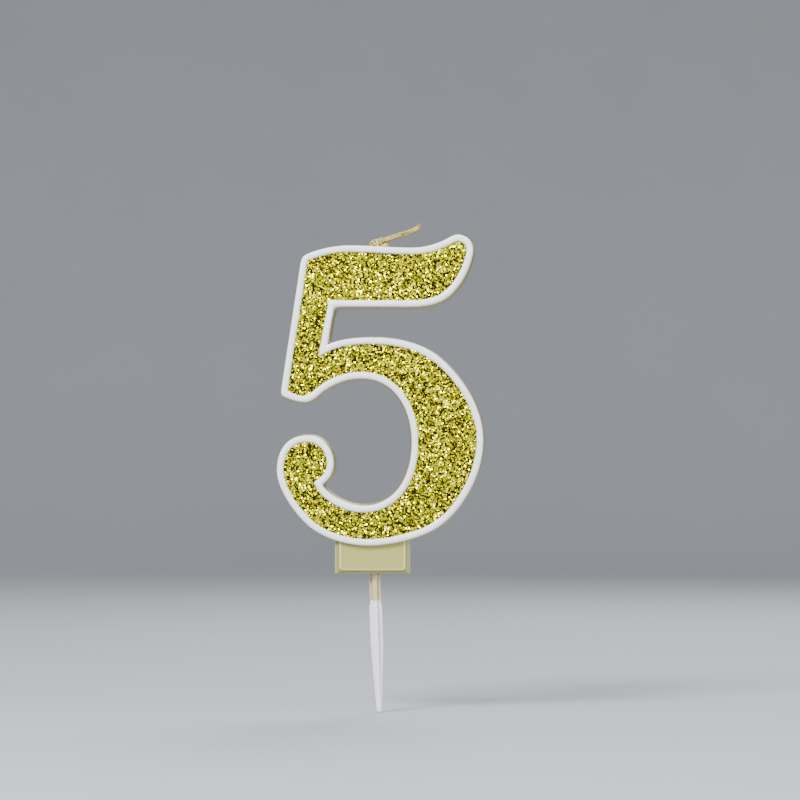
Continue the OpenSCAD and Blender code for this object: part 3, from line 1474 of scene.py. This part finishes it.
@dataclass
class GlueBed(Piece):
    """The glue on the sunken face, which climbs a little up the border's inner side."""

    outline: FigureOutline
    climb: float = 0.22 * MM

    def build(self) -> None:
        """Builds the glue as a closed plate with a raised lip."""
        low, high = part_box("glue_bed")
        w = self.outline.width
        rings = [
            at_depth(self.outline.ring(w - 0.2 * MM), high.y),
            at_depth(self.outline.ring(w - 0.12 * MM), low.y - self.climb),
            at_depth(self.outline.ring(w + 0.05 * MM), low.y - self.climb * 0.8),
            at_depth(self.outline.ring(w + 0.3 * MM, 0.0), low.y),
        ]
        parts = MeshParts()
        points, faces = bridge(rings)
        parts.add(points, faces)
        for ring in (rings[0], rings[-1]):
            parts.add(ring, fill_loop(ring[:, [0, 2]]))
        glue = parts.build("glue_bed_surface", Shading.SMOOTH)
        weld(glue, 0.001 * MM)
        recalc_outward(glue)
        self.settle(glue, Slot.GLUE, Body.CANDLE, "glue_bed")


def hexagon_flake(
    centre: np.ndarray,
    normal: Vector,
    radius: float,
    thickness: float,
    spin: float,
) -> tuple[np.ndarray, list[tuple[int, ...]]]:
    """One closed six-sided flake.

    Args:
        centre: Middle of the flake.
        normal: Direction its face looks.
        radius: Distance to a corner.
        thickness: Thickness of the film.
        spin: Turn about the normal, in radians.

    Returns:
        Its points and faces.
    """
    turn = normal.to_track_quat("Z", "Y").to_matrix()
    points = []
    for side in (0.5, -0.5):
        for k in range(6):
            a = spin + k * math.pi / 3
            p = Vector((radius * math.cos(a), radius * math.sin(a), side * thickness))
            points.append(np.array(turn @ p) + centre)
    faces: list[tuple[int, ...]] = [(0, 1, 2, 3, 4, 5), (11, 10, 9, 8, 7, 6)]
    faces += [(k, k + 6, (k + 1) % 6 + 6, (k + 1) % 6) for k in range(6)]
    return np.array(points), faces


@dataclass
class Glitter(Piece):
    """The glitter: a crust of tilted flakes set edge to edge, and loose flakes over it."""

    outline: FigureOutline
    pitch: float = 0.332 * MM
    jitter: float = 0.42
    tilt: float = 0.6
    lift: float = 0.07 * MM
    loose: int = 1500
    on_edge: int = 420
    dark_below: float = 0.38
    middle_below: float = 0.53
    seed: int = 5

    def build(self) -> None:
        """Builds the crust and the loose flakes."""
        self.rng = np.random.default_rng(self.seed)
        low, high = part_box("glitter_crust")
        self.face_y, self.floor_y = low.y, high.y
        self._crust()
        self._loose_flakes()

    def _tone(self, count: int) -> np.ndarray:
        """Draws tones for flakes: many dark, many bright, fewer between.

        Args:
            count: How many.

        Returns:
            The tones, from 0 to 1.
        """
        pick = self.rng.random(count)
        dark = self.rng.uniform(0.02, 0.3, count)
        middle = self.rng.uniform(0.35, 0.75, count)
        bright = self.rng.uniform(0.75, 1.0, count)
        lit = np.where(pick < self.middle_below, middle, bright)
        return np.where(pick < self.dark_below, dark, lit)

    def _centres(self) -> np.ndarray:
        """Scatters the flakes.

        Returns:
            Jittered centres over the face and a little way under the border.
        """
        low, high = self.outline.inner.min(0), self.outline.inner.max(0)
        low, high = low - 1.0 * MM, high + 1.0 * MM
        row = self.pitch * math.sqrt(3) / 2
        xs = np.arange(low[0], high[0], self.pitch)
        zs = np.arange(low[1], high[1], row)
        grid = np.array(
            [(x + (k % 2) * self.pitch / 2, z) for k, z in enumerate(zs) for x in xs]
        )
        grid += self.rng.uniform(-1, 1, grid.shape) * self.pitch * self.jitter
        return grid[self.outline.distance_inside(grid) > -0.75 * MM]

    def _crust(self) -> None:
        """One connected sheet: a tilted cell per flake, with walls between the cells that are
        darkened as painted shade.
        """
        centres = self._centres()
        _, _, triangles, *_ = geometry.delaunay_2d_cdt(
            [Vector(p) for p in centres], [], [], 0, 1e-9
        )
        tri = np.array([t for t in triangles if len(t) == 3])
        corners = centres[tri]
        sides = np.linalg.norm(corners - np.roll(corners, 1, axis=1), axis=2)
        tri = tri[sides.max(axis=1) < 3.2 * self.pitch]
        middle = centres[tri].mean(axis=1)
        edge_use: dict[tuple[int, int], list[int]] = {}
        around: dict[int, list[int]] = {}
        for t, abc in enumerate(tri):
            for a, b in ((0, 1), (1, 2), (2, 0)):
                key = (int(min(abc[a], abc[b])), int(max(abc[a], abc[b])))
                edge_use.setdefault(key, []).append(t)
            for i in abc:
                around.setdefault(int(i), []).append(t)
        whole = {i: True for i in around}
        for (a, b), users in edge_use.items():
            if len(users) != 2:
                whole[a] = whole[b] = False
        n = len(centres)
        slope_way = self.rng.uniform(0, 2 * math.pi, n)
        slope = self.tilt * self.rng.random(n) ** 0.7
        grad = np.column_stack([np.cos(slope_way), np.sin(slope_way)]) * slope[:, None]
        shrink = self.rng.uniform(0.8, 0.95, n)
        height = self.face_y + self.lift * self.rng.uniform(-1, 1, n)
        tone = self._tone(n)
        place: dict[tuple[int, int], int] = {}
        points: list[tuple[float, float, float]] = []
        for i, ts in around.items():
            if not whole[i]:
                continue
            for t in ts:
                step = (middle[t] - centres[i]) * shrink[i]
                place[(i, t)] = len(points)
                points.append(
                    (
                        centres[i][0] + step[0],
                        height[i] + float(step @ grad[i]),
                        centres[i][1] + step[1],
                    )
                )
        faces: list[tuple[int, ...]] = []
        tones: list[float] = []
        for i, ts in around.items():
            if whole[i]:
                angle = {t: math.atan2(*(middle[t] - centres[i])[::-1]) for t in ts}
                faces.append(tuple(place[(i, t)] for t in sorted(ts, key=angle.get)))
                tones.append(float(tone[i]))
        # The walls between cells and the triangles where cells meet take dark tones as painted
        # shade between the flakes.
        for (a, b), users in edge_use.items():
            if whole[a] and whole[b]:
                s, t = users
                faces.append((place[(a, s)], place[(a, t)], place[(b, t)], place[(b, s)]))
                tones.append(0.12 + 0.2 * float(min(tone[a], tone[b])))
        for t, (a, b, c) in enumerate(tri):
            if whole[int(a)] and whole[int(b)] and whole[int(c)]:
                faces.append(tuple(place[(int(k), t)] for k in (a, b, c)))
                tones.append(0.1)
        parts = MeshParts()
        parts.add(np.array(points), faces, tones)
        crust = parts.build("glitter_crust_flakes", Shading.FLAT)
        self._close_back(crust)
        self.settle(crust, Slot.GLITTER, Body.CANDLE, "glitter_crust")

    def _close_back(self, crust: bpy.types.Object) -> None:
        """Closes the crust with a wall down to the glue and a flat back.

        Args:
            crust: The open crust.
        """
        bm = bmesh.new()
        bm.from_mesh(crust.data)
        flakes = len(bm.faces)
        rim = [e for e in bm.edges if len(e.link_faces) == 1]
        grown = bmesh.ops.extrude_edge_only(bm, edges=rim)["geom"]
        for v in (g for g in grown if isinstance(g, bmesh.types.BMVert)):
            v.co.y = self.floor_y
        bottom = [g for g in grown if isinstance(g, bmesh.types.BMEdge)]
        bmesh.ops.triangle_fill(bm, use_beauty=True, edges=bottom)
        bmesh.ops.recalc_face_normals(bm, faces=bm.faces)
        for f in bm.faces:
            f.smooth = False
        # The new faces come in another order each time, so they are put in a fixed one.
        bm.verts.index_update()
        bm.faces.index_update()
        fixed = sorted(
            bm.faces, key=lambda f: (min(f.index, flakes), sorted(v.index for v in f.verts))
        )
        place = {f.index: k for k, f in enumerate(fixed)}
        bm.faces.sort(key=lambda f: place[f.index])
        bm.to_mesh(crust.data)
        bm.free()

    def _loose_flakes(self) -> None:
        """Flakes that lie over the crust, and some that ride up on the border's edge."""
        parts = MeshParts()
        low, high = self.outline.inner.min(0), self.outline.inner.max(0)
        spots = self.rng.uniform(low, high, (self.loose * 4, 2))
        depth = self.outline.distance_inside(spots)
        spots = spots[depth > 0.1 * MM][: self.loose]
        for p in spots:
            self._one_flake(parts, p, self.face_y - self.rng.uniform(0.03, 0.12) * MM, 0.4)
        ring = self.outline.ring(self.outline.width - 0.02 * MM, 0.0)
        inner = self.outline.ring(self.outline.width + 0.25 * MM, 0.0)
        chosen = self.rng.integers(0, len(ring), self.on_edge)
        for k in chosen:
            share = self.rng.uniform(-0.6, 0.9)
            p = ring[k] + (inner[k] - ring[k]) * share
            rise = 0.18 + 0.16 * max(0.0, 0.3 - share)
            self._one_flake(parts, p, self.face_y - rise * MM, 0.55)
        flakes = parts.build("glitter_loose_flakes", Shading.FLAT)
        self.settle(flakes, Slot.GLITTER, Body.CANDLE)

    def _one_flake(
        self, parts: MeshParts, spot: np.ndarray, y: float, lean: float
    ) -> None:
        """Adds one loose flake.

        Args:
            parts: Where it goes.
            spot: Its (x, z) place.
            y: Its depth.
            lean: Largest slope of its face.
        """
        way = self.rng.uniform(0, 2 * math.pi)
        slope = lean * self.rng.random()
        normal = Vector((math.cos(way) * slope, -1, math.sin(way) * slope)).normalized()
        points, faces = hexagon_flake(
            np.array([spot[0], y, spot[1]]),
            normal,
            self.rng.uniform(0.13, 0.21) * MM,
            0.025 * MM,
            self.rng.uniform(0, math.pi),
        )
        parts.add(points, faces, float(self._tone(1)[0]))


@dataclass
class Foot(Piece):
    """The wax foot: a block whose front face stands proud inside a sloped edge."""

    top: float = 7.65 * MM
    corner: float = 0.25 * MM
    panel_corner: float = 0.8 * MM
    side_slope: float = 1.1 * MM
    low_slope: float = 0.8 * MM
    slope_drop: float = 0.7 * MM
    lip: float = 0.05 * MM
    uneven: float = 0.012 * MM
    round_steps: int = 8
    across: int = 40
    upright: int = 16

    def _ring(self, y: float, inset: float, radius: float) -> np.ndarray:
        """A rounded oblong at one depth; its top stays inside the figure.

        Args:
            y: Depth.
            inset: Share of the sloped edge, 0 at the outside and 1 at the panel.
            radius: Radius of the two lower corners.

        Returns:
            The ring's points.
        """
        low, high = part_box("foot_block")
        x0 = low.x + inset * self.side_slope
        x1 = high.x - inset * self.side_slope
        z0 = low.z + inset * self.low_slope
        r = max(radius, 0.02 * MM)
        points = []
        for cx, cz, start in (
            (x0 + r, z0 + r, math.pi),
            (x1 - r, z0 + r, 1.5 * math.pi),
        ):
            for k in range(self.round_steps + 1):
                a = start + k / self.round_steps * math.pi / 2
                points.append((cx + r * math.cos(a), cz + r * math.sin(a)))
        left, right = points[: self.round_steps + 1], points[self.round_steps + 1 :]
        m, h = self.across, self.upright
        span = right[0][0] - left[-1][0]
        bottom = [(left[-1][0] + span * k / m, z0) for k in range(1, m)]
        rise = self.top - right[-1][1]
        up = [(x1, right[-1][1] + rise * k / h) for k in range(1, h + 1)]
        over = [(x1 + (x0 - x1) * k / m, self.top) for k in range(1, m)]
        fall = left[0][1] - self.top
        down = [(x0, self.top + fall * k / h) for k in range(h)]
        return at_depth(np.array(left + bottom + right + up + over + down), y)

    def build(self) -> None:
        """Builds the block from rings, back to front."""
        low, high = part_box("foot_block")
        back, front = high.y, low.y
        c, p, drop = self.corner, self.panel_corner, self.slope_drop
        rings = [
            self._ring(back, 0.32, c),
            self._ring(back - 0.03 * MM, 0.16, c),
            self._ring(back - 0.14 * MM, 0.05, c),
            self._ring(back - 0.34 * MM, 0.0, c),
            self._ring(0.5 * (back + front) + 0.4 * MM, 0.0, c),
            self._ring(front + drop + 0.3 * MM, 0.0, c),
            self._ring(front + drop + 0.1 * MM, 0.03, c),
            self._ring(front + drop - 0.03 * MM, 0.12, c + 0.02 * MM),
            self._ring(front + 0.42 * drop, 0.55, 0.6 * p),
            self._ring(front + 0.14 * drop, 0.84, 0.85 * p),
            self._ring(front - 0.5 * self.lip, 0.94, 0.95 * p),
            self._ring(front - self.lip, 1.03, p),
            self._ring(front - 0.6 * self.lip, 1.13, p),
            self._ring(front + 0.01 * MM, 1.22, p),
            self._ring(front + 0.02 * MM, 1.35, p),
        ]
        points, faces = bridge(rings)
        for i, q in enumerate(points):
            swell = noise.noise(Vector(q * 260)) + 0.5 * noise.noise(Vector(q * 700))
            points[i, 1] += self.uneven * swell
            points[i, 0] += self.uneven * noise.noise(Vector(q * 300 + 5))
        n = len(rings[0])
        # Painted light: the bands lighten the slope's outer edge and the lip round the panel as
        # painted highlights, and darken the slope as painted shade.
        painted_light_bands = [0.5] * 6 + [0.7, 0.3, 0.22, 0.3, 0.7, 0.85, 0.7, 0.5]
        tones = [painted_light_bands[min(k // n, len(painted_light_bands) - 1)] for k in range(len(faces))]
        # The painted highlights are weakened towards the bottom of the block.
        for k, quad in enumerate(faces):
            level = points[list(quad), 2].mean() - low.z
            if tones[k] > 0.5 and level < 2 * self.low_slope:
                tones[k] = 0.5 + (tones[k] - 0.5) * max(0.15, level / self.low_slope - 1)
        parts = MeshParts()
        parts.add(points, faces, tones)
        parts.add(*uneven_face(points[:n], 0.5 * MM, -0.03 * MM, 1.4))
        parts.add(*uneven_face(points[-n:], 0.4 * MM, 0.02 * MM, 6.3))
        foot = parts.build("foot", Shading.SMOOTH)
        weld(foot, 0.001 * MM)
        recalc_outward(foot)
        self.settle(foot, Slot.WAX_PEARL, Body.CANDLE, "foot_block")


@dataclass
class Pick(Piece):
    """The plastic pick with its rounded cross section, and the lacquer on its neck."""

    neck: float = 2.3 * MM
    blade: float = 2.7 * MM
    tip: float = 1.1 * MM
    arm: float = 0.8 * MM
    neck_below: float = 6.5 * MM
    film: float = 0.08 * MM
    edge: float = 0.12 * MM
    neck_edge: float = 0.11 * MM
    ragged: float = 0.5 * MM

    def _axis(self) -> Matrix:
        """Finds how the pick leans.

        Returns:
            The turn from upright onto the pick's own axis.
        """
        up = next(
            Vector(j["axis"]) for j in frame["joints"] if j["child"] == Body.CANDLE.value
        ).normalized()
        return Vector((0, 0, 1)).rotation_difference(up).to_matrix()

    @staticmethod
    def _cross(width: float, arm: float, outer: float, inner: float) -> np.ndarray:
        """A cross-shaped loop with rounded corners.

        Args:
            width: Width across the arms.
            arm: Thickness of an arm.
            outer: Radius of the arms' corners.
            inner: Radius of the four inside corners.

        Returns:
            The (x, y) points, the same number for any size.
        """
        w, a = width / 2, arm / 2
        corners = []
        for k in range(4):
            turn = Matrix.Rotation(k * math.pi / 2, 2)
            for p, kind in (((w, -a), 1), ((w, a), 1), ((a, a), -1)):
                corners.append((turn @ Vector(p), kind))
        out = []
        total = len(corners)
        for i, (p, kind) in enumerate(corners):
            before = (corners[i - 1][0] - p).normalized()
            after = (corners[(i + 1) % total][0] - p).normalized()
            r = outer if kind > 0 else inner
            start, end = p + before * r, p + after * r
            for k in range(5):
                t = k / 4
                out.append((1 - t) ** 2 * start + 2 * t * (1 - t) * p + t * t * end)
        return np.array([(v.x, v.y) for v in out])

    def _place(self, loop: np.ndarray, height: float | np.ndarray) -> np.ndarray:
        """Stands a cross-shaped loop on the pick's axis.

        Args:
            loop: The loop's (x, y) points.
            height: Height along the axis, one for the loop or one for each point.

        Returns:
            The loop as a ring of points in the row's frame.
        """
        upright = np.column_stack([loop, np.broadcast_to(height, len(loop))])
        return upright @ np.array(self._axis()).T

    def build(self) -> None:
        """Builds the pick and its film."""
        self._stick()
        self._film()

    def _stick(self) -> None:
        """The pick from its end inside the wax to its blunt tip."""
        low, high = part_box("pick")
        length, insert = -low.z, high.z
        neck, edge = self.neck_edge, self.edge
        loops = []
        for f, dz in ((0.72, 0.0), (0.86, 0.12), (1.0, 0.4)):
            arm = self.arm * min(1, f + 0.1)
            loop = self._cross(self.neck * f, arm, 0.08 * MM, 0.06 * MM)
            loops.append((loop, insert - dz * MM))
        for z in np.arange(insert - 1.5 * MM, -self.neck_below + 0.1 * MM, -1.2 * MM):
            loops.append((self._cross(self.neck, self.arm, neck, edge), z))
        for t in np.linspace(0, 1, 6):
            wide = self.neck + (self.blade - self.neck) * t * t * (3 - 2 * t)
            loop = self._cross(wide, self.arm, edge, edge)
            loops.append((loop, -self.neck_below - 0.75 * MM * t))
        start = -0.5 * length
        for z in np.arange(-self.neck_below - 1.6 * MM, start, -1.0 * MM):
            loops.append((self._cross(self.blade, self.arm, edge, edge), z))
        for t in np.linspace(0, 1, 18):
            eased = t**1.12
            wide = self.blade + (self.tip - self.blade) * eased
            loop = self._cross(wide, self.arm * (1 - 0.12 * eased), edge, 0.1 * MM)
            loops.append((loop, start + (0.45 * MM - length - start) * t))
        for f, dz in ((0.93, 0.24), (0.78, 0.08), (0.55, 0.0)):
            loop = self._cross(self.tip * f, self.arm * 0.88 * f, 0.08 * MM, 0.05 * MM)
            loops.append((loop, dz * MM - length))
        rings = [self._place(loop, z) for loop, z in loops]
        parts = MeshParts()
        points, faces = bridge(rings)
        parts.add(points, faces)
        n = len(rings[0])
        for ring in (points[:n], points[-n:]):
            centre = ring.mean(axis=0)
            fan = [(i, (i + 1) % n, n) for i in range(n)]
            parts.add(np.vstack([ring, centre]), fan)
        stick = parts.build("pick_stick", Shading.SMOOTH)
        weld(stick, 0.0005 * MM)
        recalc_outward(stick)
        self.settle(stick, Slot.PLASTIC, Body.PICK, "pick")

    def _film(self) -> None:
        """The lacquer: a thin closed sleeve whose lower edge wanders and thins out."""
        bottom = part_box("pick_film")[0].z
        head = -0.1 * MM
        levels = np.linspace(0, 1, 17)
        size = (self.neck + 2 * self.film, self.arm + 2 * self.film)
        outer = self._cross(*size, 0.16 * MM, 0.1 * MM)
        inner = self._cross(self.neck, self.arm, self.neck_edge, self.edge)
        angle = np.arctan2(outer[:, 1], outer[:, 0])
        around = zip(2.2 * np.cos(angle), 2.2 * np.sin(angle), strict=True)
        wander = np.array([noise.noise(Vector((x, y, 1.3))) for x, y in around])
        rings = []
        for t in levels:
            thin = 1.0 if t < 0.7 else 1 - 0.85 * ((t - 0.7) / 0.3) ** 1.5
            height = head + (bottom - head) * t + wander * self.ragged * t**3
            rings.append(self._place(inner + (outer - inner) * thin, height))
        for t in levels[::-1]:
            height = head + (bottom - head) * t + wander * self.ragged * t**3
            rings.append(self._place(inner * 0.97, height))
        points, faces = bridge(rings, closed=True)
        parts = MeshParts()
        parts.add(points, faces)
        film = parts.build("neck_film", Shading.SMOOTH)
        recalc_outward(film)
        self.settle(film, Slot.LACQUER, Body.PICK, "pick_film")


@dataclass
class Wick(Piece):
    """The plaited wick, from its end in the wax to its fray, and the lump at its root."""

    thickness: float = 1.2 * MM
    plait: float = 19.0 * MM
    strands: int = 3
    phase: float = 2.6
    swing: float = 0.28 * MM
    cross: float = 0.16 * MM
    strand: float = 0.34 * MM
    ply_turn: float = 0.8 * MM
    fibres: int = 15
    lumps: int = 70
    caught: int = 420

    def _bend(self) -> Vector:
        """Where the wick bends."""
        joint = next(j for j in frame["joints"] if j["child"] == Body.WICK.value)
        return Vector(joint["pos_m"])

    def _spine(self) -> np.ndarray:
        """Lays out the wick's centre line.

        Returns:
            Points (x, z), from the end in the wax to the tip.
        """
        low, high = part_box("wick_tip")
        root_low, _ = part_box("wick_core")
        root_x = root_low.x + self.thickness / 2
        bend = self._bend()
        end_x = high.x - 0.1 * MM
        end_z = high.z - self.thickness / 2
        across = end_x - bend.x
        knots = [
            (root_x, root_low.z + 0.05 * MM),
            (root_x, bend.z - 5 * MM),
            (root_x, bend.z - 2.2 * MM),
            (root_x + 0.22 * MM, bend.z - 1.15 * MM),
            (root_x + 0.95 * MM, bend.z - 0.38 * MM),
            (bend.x, bend.z),
            (bend.x + 0.35 * across, bend.z + 0.31 * (end_z - bend.z)),
            (bend.x + 0.7 * across, bend.z + 0.66 * (end_z - bend.z)),
            (end_x, end_z),
        ]
        return smooth_curve(knots, 0.08 * MM)

    def build(self) -> None:
        """Builds the plait, its fray and the mound."""
        self._plait()
        self._mound()

    def _plait(self) -> None:
        """Three strands that cross over and under each other, then the fray."""
        rng = np.random.default_rng(11)
        flat = self._spine()
        spine = np.column_stack([flat[:, 0], np.zeros(len(flat)), flat[:, 1]])
        tangents = np.gradient(spine, axis=0)
        tangents /= np.linalg.norm(tangents, axis=1)[:, None]
        side = np.column_stack([-tangents[:, 2], np.zeros(len(spine)), tangents[:, 0]])
        out = np.tile([0.0, 1.0, 0.0], (len(spine), 1))
        steps = np.linalg.norm(np.diff(spine, axis=0), axis=1)
        along = np.concatenate([[0], np.cumsum(steps)])
        total = along[-1]
        parts = MeshParts()
        short = (0.0, 0.3 * MM, 0.12 * MM)
        twist = 2 * math.pi / self.ply_turn

        def ply(angles: np.ndarray, s: float) -> np.ndarray:
            """Ridges of the yarn's plies, wound round the strand."""
            return 1 + 0.07 * np.cos(4 * angles - twist * s)

        for k in range(self.strands):
            phase = 2 * math.pi * (along / self.plait + k / self.strands) + self.phase
            centre = (
                spine
                + side * (self.swing * np.sin(phase))[:, None]
                + out * (self.cross * np.sin(2 * phase))[:, None]
            )
            body = self.strand * (1 + 0.06 * line_wave(along, 2.0 + k, 1.1 * MM))
            left = total - short[k] - along
            end = np.sqrt(np.clip(left / (0.3 * MM), 0.08, 1))
            keep = left > -0.02 * MM
            points, faces = tube(
                centre[keep], (body * end)[keep], np.array([0.0, 1.0, 0.01]), 16, ply
            )
            parts.add(points, faces)
        tip, way = spine[-1], tangents[-1]
        above = side[-1] * 0.35 * MM
        for _ in range(self.fibres):
            lean = rng.normal(0, 0.35, 3)
            run = 0.6 * way + lean + side[-1] * rng.uniform(0.0, 0.8)
            run /= np.linalg.norm(run)
            length = rng.uniform(0.1, 0.45) * MM
            curl = np.array([0.0, rng.normal(0, 0.15), rng.uniform(-0.15, 0.25)]) * MM
            start = tip + above - way * rng.uniform(0.2, 0.75) * MM
            start = start + rng.normal(0, 0.08, 3) * MM
            t = np.linspace(0, 1, 7)[:, None]
            line = start + run * (length + 0.4 * MM) * t + curl * t * t
            radii = (0.075 - 0.045 * t[:, 0]) * MM
            points, faces = tube(line, radii, np.array([0.1, 1.0, 0.05]), 6)
            parts.add(points, faces)
        wick = parts.build("wick", Shading.SMOOTH)
        recalc_outward(wick)
        self.settle(wick, Slot.COTTON, None, "wick_core", "wick_tip")
        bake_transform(wick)

    def _mound(self) -> None:
        """Lumpy wax round the root, fused from a dome and lumps, with glitter on it."""
        rng = np.random.default_rng(21)
        low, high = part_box("wick_collar")
        centre = Vector(((low.x + high.x) / 2, 0, low.z))
        half = (high.x - low.x) / 2
        tall = high.z - low.z
        bm = bmesh.new()
        dome = Vector((half, half * 0.95, tall * 0.8))
        lumps = [(centre + Vector((0, 0, 0.05 * MM)), dome)]
        for k in range(self.lumps):
            a, r = rng.uniform(0, 2 * math.pi), math.sqrt(rng.uniform(0.05, 1.1)) * half
            h = rng.uniform(0.1, 0.95) * tall * max(0.15, 1 - 0.75 * (r / half) ** 2)
            size = rng.uniform(0.2, 0.4 if k % 3 else 0.58) * MM
            right = 0.45 * MM * max(0.0, math.cos(a))
            spot = centre + Vector((r * math.cos(a) + right, r * math.sin(a) * 0.9, h))
            lumps.append((spot, Vector((size, size, size * 0.85))))
        for spot, size in lumps:
            place = Matrix.Translation(spot) @ Matrix.Diagonal((*size, 1))
            bmesh.ops.create_icosphere(bm, subdivisions=3, radius=1.0, matrix=place)
        mesh = bpy.data.meshes.new("wick_mound")
        bm.to_mesh(mesh)
        bm.free()
        mound = bpy.data.objects.new("wick_mound", mesh)
        bpy.context.scene.collection.objects.link(mound)
        remesh = mound.modifiers.new("fuse", "REMESH")
        remesh.mode = "VOXEL"
        remesh.voxel_size = 0.06 * MM
        relax = mound.modifiers.new("relax", "SMOOTH")
        relax.factor = 0.5
        relax.iterations = 3
        graph = bpy.context.evaluated_depsgraph_get()
        fused = bpy.data.meshes.new_from_object(mound.evaluated_get(graph))
        mound.modifiers.clear()
        mound.data = fused
        for v in fused.vertices:
            rough = noise.noise(v.co * 2400) * 0.035 + noise.noise(v.co * 900) * 0.07
            v.co += v.normal * rough * MM
        fused.polygons.foreach_set("use_smooth", [True] * len(fused.polygons))
        self.settle(mound, Slot.MOUND, Body.CANDLE, "wick_collar")
        self._mound_flakes(mound, rng)

    def _mound_flakes(self, mound: bpy.types.Object, rng: np.random.Generator) -> None:
        """Glitter caught on the mound.

        Args:
            mound: The wax lump.
            rng: Where the chances come from.
        """
        parts = MeshParts()
        low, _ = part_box("wick_collar")
        faces = [p for p in mound.data.polygons if p.center.z > low.z + 0.1 * MM]
        for index in rng.choice(len(faces), self.caught, replace=False):
            face = faces[int(index)]
            lean = Vector(rng.normal(0, 0.35, 3).tolist())
            points, sides = hexagon_flake(
                np.array(face.center + face.normal * 0.02 * MM),
                (face.normal + lean).normalized(),
                rng.uniform(0.08, 0.17) * MM,
                0.022 * MM,
                rng.uniform(0, math.pi),
            )
            parts.add(points, sides, float(rng.uniform(0.05, 1.0)))
        flakes = parts.build("mound_flakes", Shading.FLAT)
        self.settle(flakes, Slot.GLITTER, Body.CANDLE)


# --------------------------------------------------------------------------------------
# Studio
# --------------------------------------------------------------------------------------


@dataclass(frozen=True)
class SoftLight:
    """A soft square light: its name, place, length of side and power in watts."""

    name: str
    place: tuple[float, float, float]
    size: float
    power: float

    def build(self, target: Vector) -> None:
        """Makes the light.

        Args:
            target: The point that it looks at.
        """
        lamp = bpy.data.lights.new(self.name, "AREA")
        lamp.shape = "SQUARE"
        lamp.size = self.size
        lamp.energy = self.power
        made = bpy.data.objects.new(self.name, lamp)
        made.location = self.place
        way = target - Vector(self.place)
        made.rotation_euler = way.to_track_quat("-Z", "Y").to_euler()
        bpy.context.scene.collection.objects.link(made)


@dataclass
class Studio:
    """A pale round sweep, soft lights and the camera."""

    finishes: Finishes
    lights: tuple[SoftLight, ...] = (
        SoftLight("key", (-0.26, -0.4, 0.42), 0.2, 8.5),
        SoftLight("fill", (0.42, -0.42, 0.16), 0.28, 2.6),
        SoftLight("back", (0.15, 0.5, 0.45), 0.3, 3.6),
    )
    lit_height: float = 0.035
    air: Colour = (0.82, 0.85, 0.9)
    air_strength: float = 1.25
    around: int = 96
    flat_radius: float = 0.9
    curve: float = 0.35
    wall: float = 0.6
    distance: float = 0.75
    frame_width: float = 0.1747
    aim: tuple[float, float] = (0.00555, 0.0378)
    turn: float = math.radians(1.2)
    rise: float = math.radians(1.0)
    sensor: float = 36.0

    def build(self) -> None:
        """Builds the sweep, lights, world and camera."""
        self._sweep()
        for light in self.lights:
            light.build(Vector((0.0, 0.0, self.lit_height)))
        self._world()
        self._camera()

    def _sweep(self) -> None:
        """Floor and wall in one piece, a shallow round tray about the candle."""
        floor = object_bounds()[0].z - 0.05 * MM
        profile = [(0.0005, 0.0), (0.15, 0.0), (0.4, 0.0), (self.flat_radius, 0.0)]
        for k in range(1, 13):
            a = k / 12 * math.pi / 2
            out, up = self.curve * math.sin(a), self.curve * (1 - math.cos(a))
            profile.append((self.flat_radius + out, up))
        profile.append((self.flat_radius + self.curve, self.wall))
        n = self.around
        a = np.linspace(0, 2 * math.pi, n, endpoint=False)
        rings = [
            np.column_stack([r * np.cos(a), r * np.sin(a), np.full(n, floor + z)])
            for r, z in profile
        ]
        points, faces = bridge(rings)
        faces.append(tuple(range(n - 1, -1, -1)))
        parts = MeshParts()
        parts.add(points, [tuple(reversed(f)) for f in faces])
        sweep = parts.build("studio_sweep", Shading.SMOOTH)
        store_ridges(sweep.data)
        sweep.data.materials.append(self.finishes.studio)
        sweep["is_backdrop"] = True

    def _world(self) -> None:
        """A plain pale surround."""
        world = bpy.data.worlds.new("studio_air")
        world.use_nodes = True
        shade = world.node_tree.nodes["Background"]
        shade.inputs["Color"].default_value = (*self.air, 1)
        shade.inputs["Strength"].default_value = self.air_strength
        bpy.context.scene.world = world

    def _camera(self) -> None:
        """A long lens, square on to the figure's face."""
        lens = bpy.data.cameras.new("camera")
        lens.sensor_width = self.sensor
        lens.lens = self.sensor * self.distance / self.frame_width
        lens.clip_start = 0.01
        lens.clip_end = 20
        lens.dof.use_dof = False
        made = bpy.data.objects.new("camera", lens)
        turn = Euler((math.pi / 2 + self.rise, 0, self.turn)).to_matrix()
        aim = Vector((self.aim[0], 0, self.aim[1]))
        made.location = aim + turn @ Vector((0, 0, self.distance))
        made.rotation_euler = turn.to_euler()
        bpy.context.scene.collection.objects.link(made)
        bpy.context.scene.camera = made


def corners(box: tuple[Vector, Vector]) -> list[list[float]]:
    """A box's two corners as plain lists."""
    return [list(box[0]), list(box[1])]


def main() -> None:
    """Builds every sub-assembly, then the studio, and logs the border's width."""
    logging.basicConfig(level=logging.INFO, format="%(name)s: %(message)s")
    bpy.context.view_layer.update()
    finishes = Finishes()
    outline = FigureOutline(frame["nodes"]["border_bead"])
    LOG.info("border %.2f mm wide, %d points", outline.width / MM, sum(outline.counts))
    parts = [
        Casting(finishes, outline=outline),
        Border(finishes, outline=outline),
        GlueBed(finishes, outline=outline),
        Glitter(finishes, outline=outline),
        Foot(finishes),
        Pick(finishes),
        Wick(finishes),
    ]
    for part in parts:
        part.build()
    Studio(finishes).build()


if __name__ == "__main__":
    main()
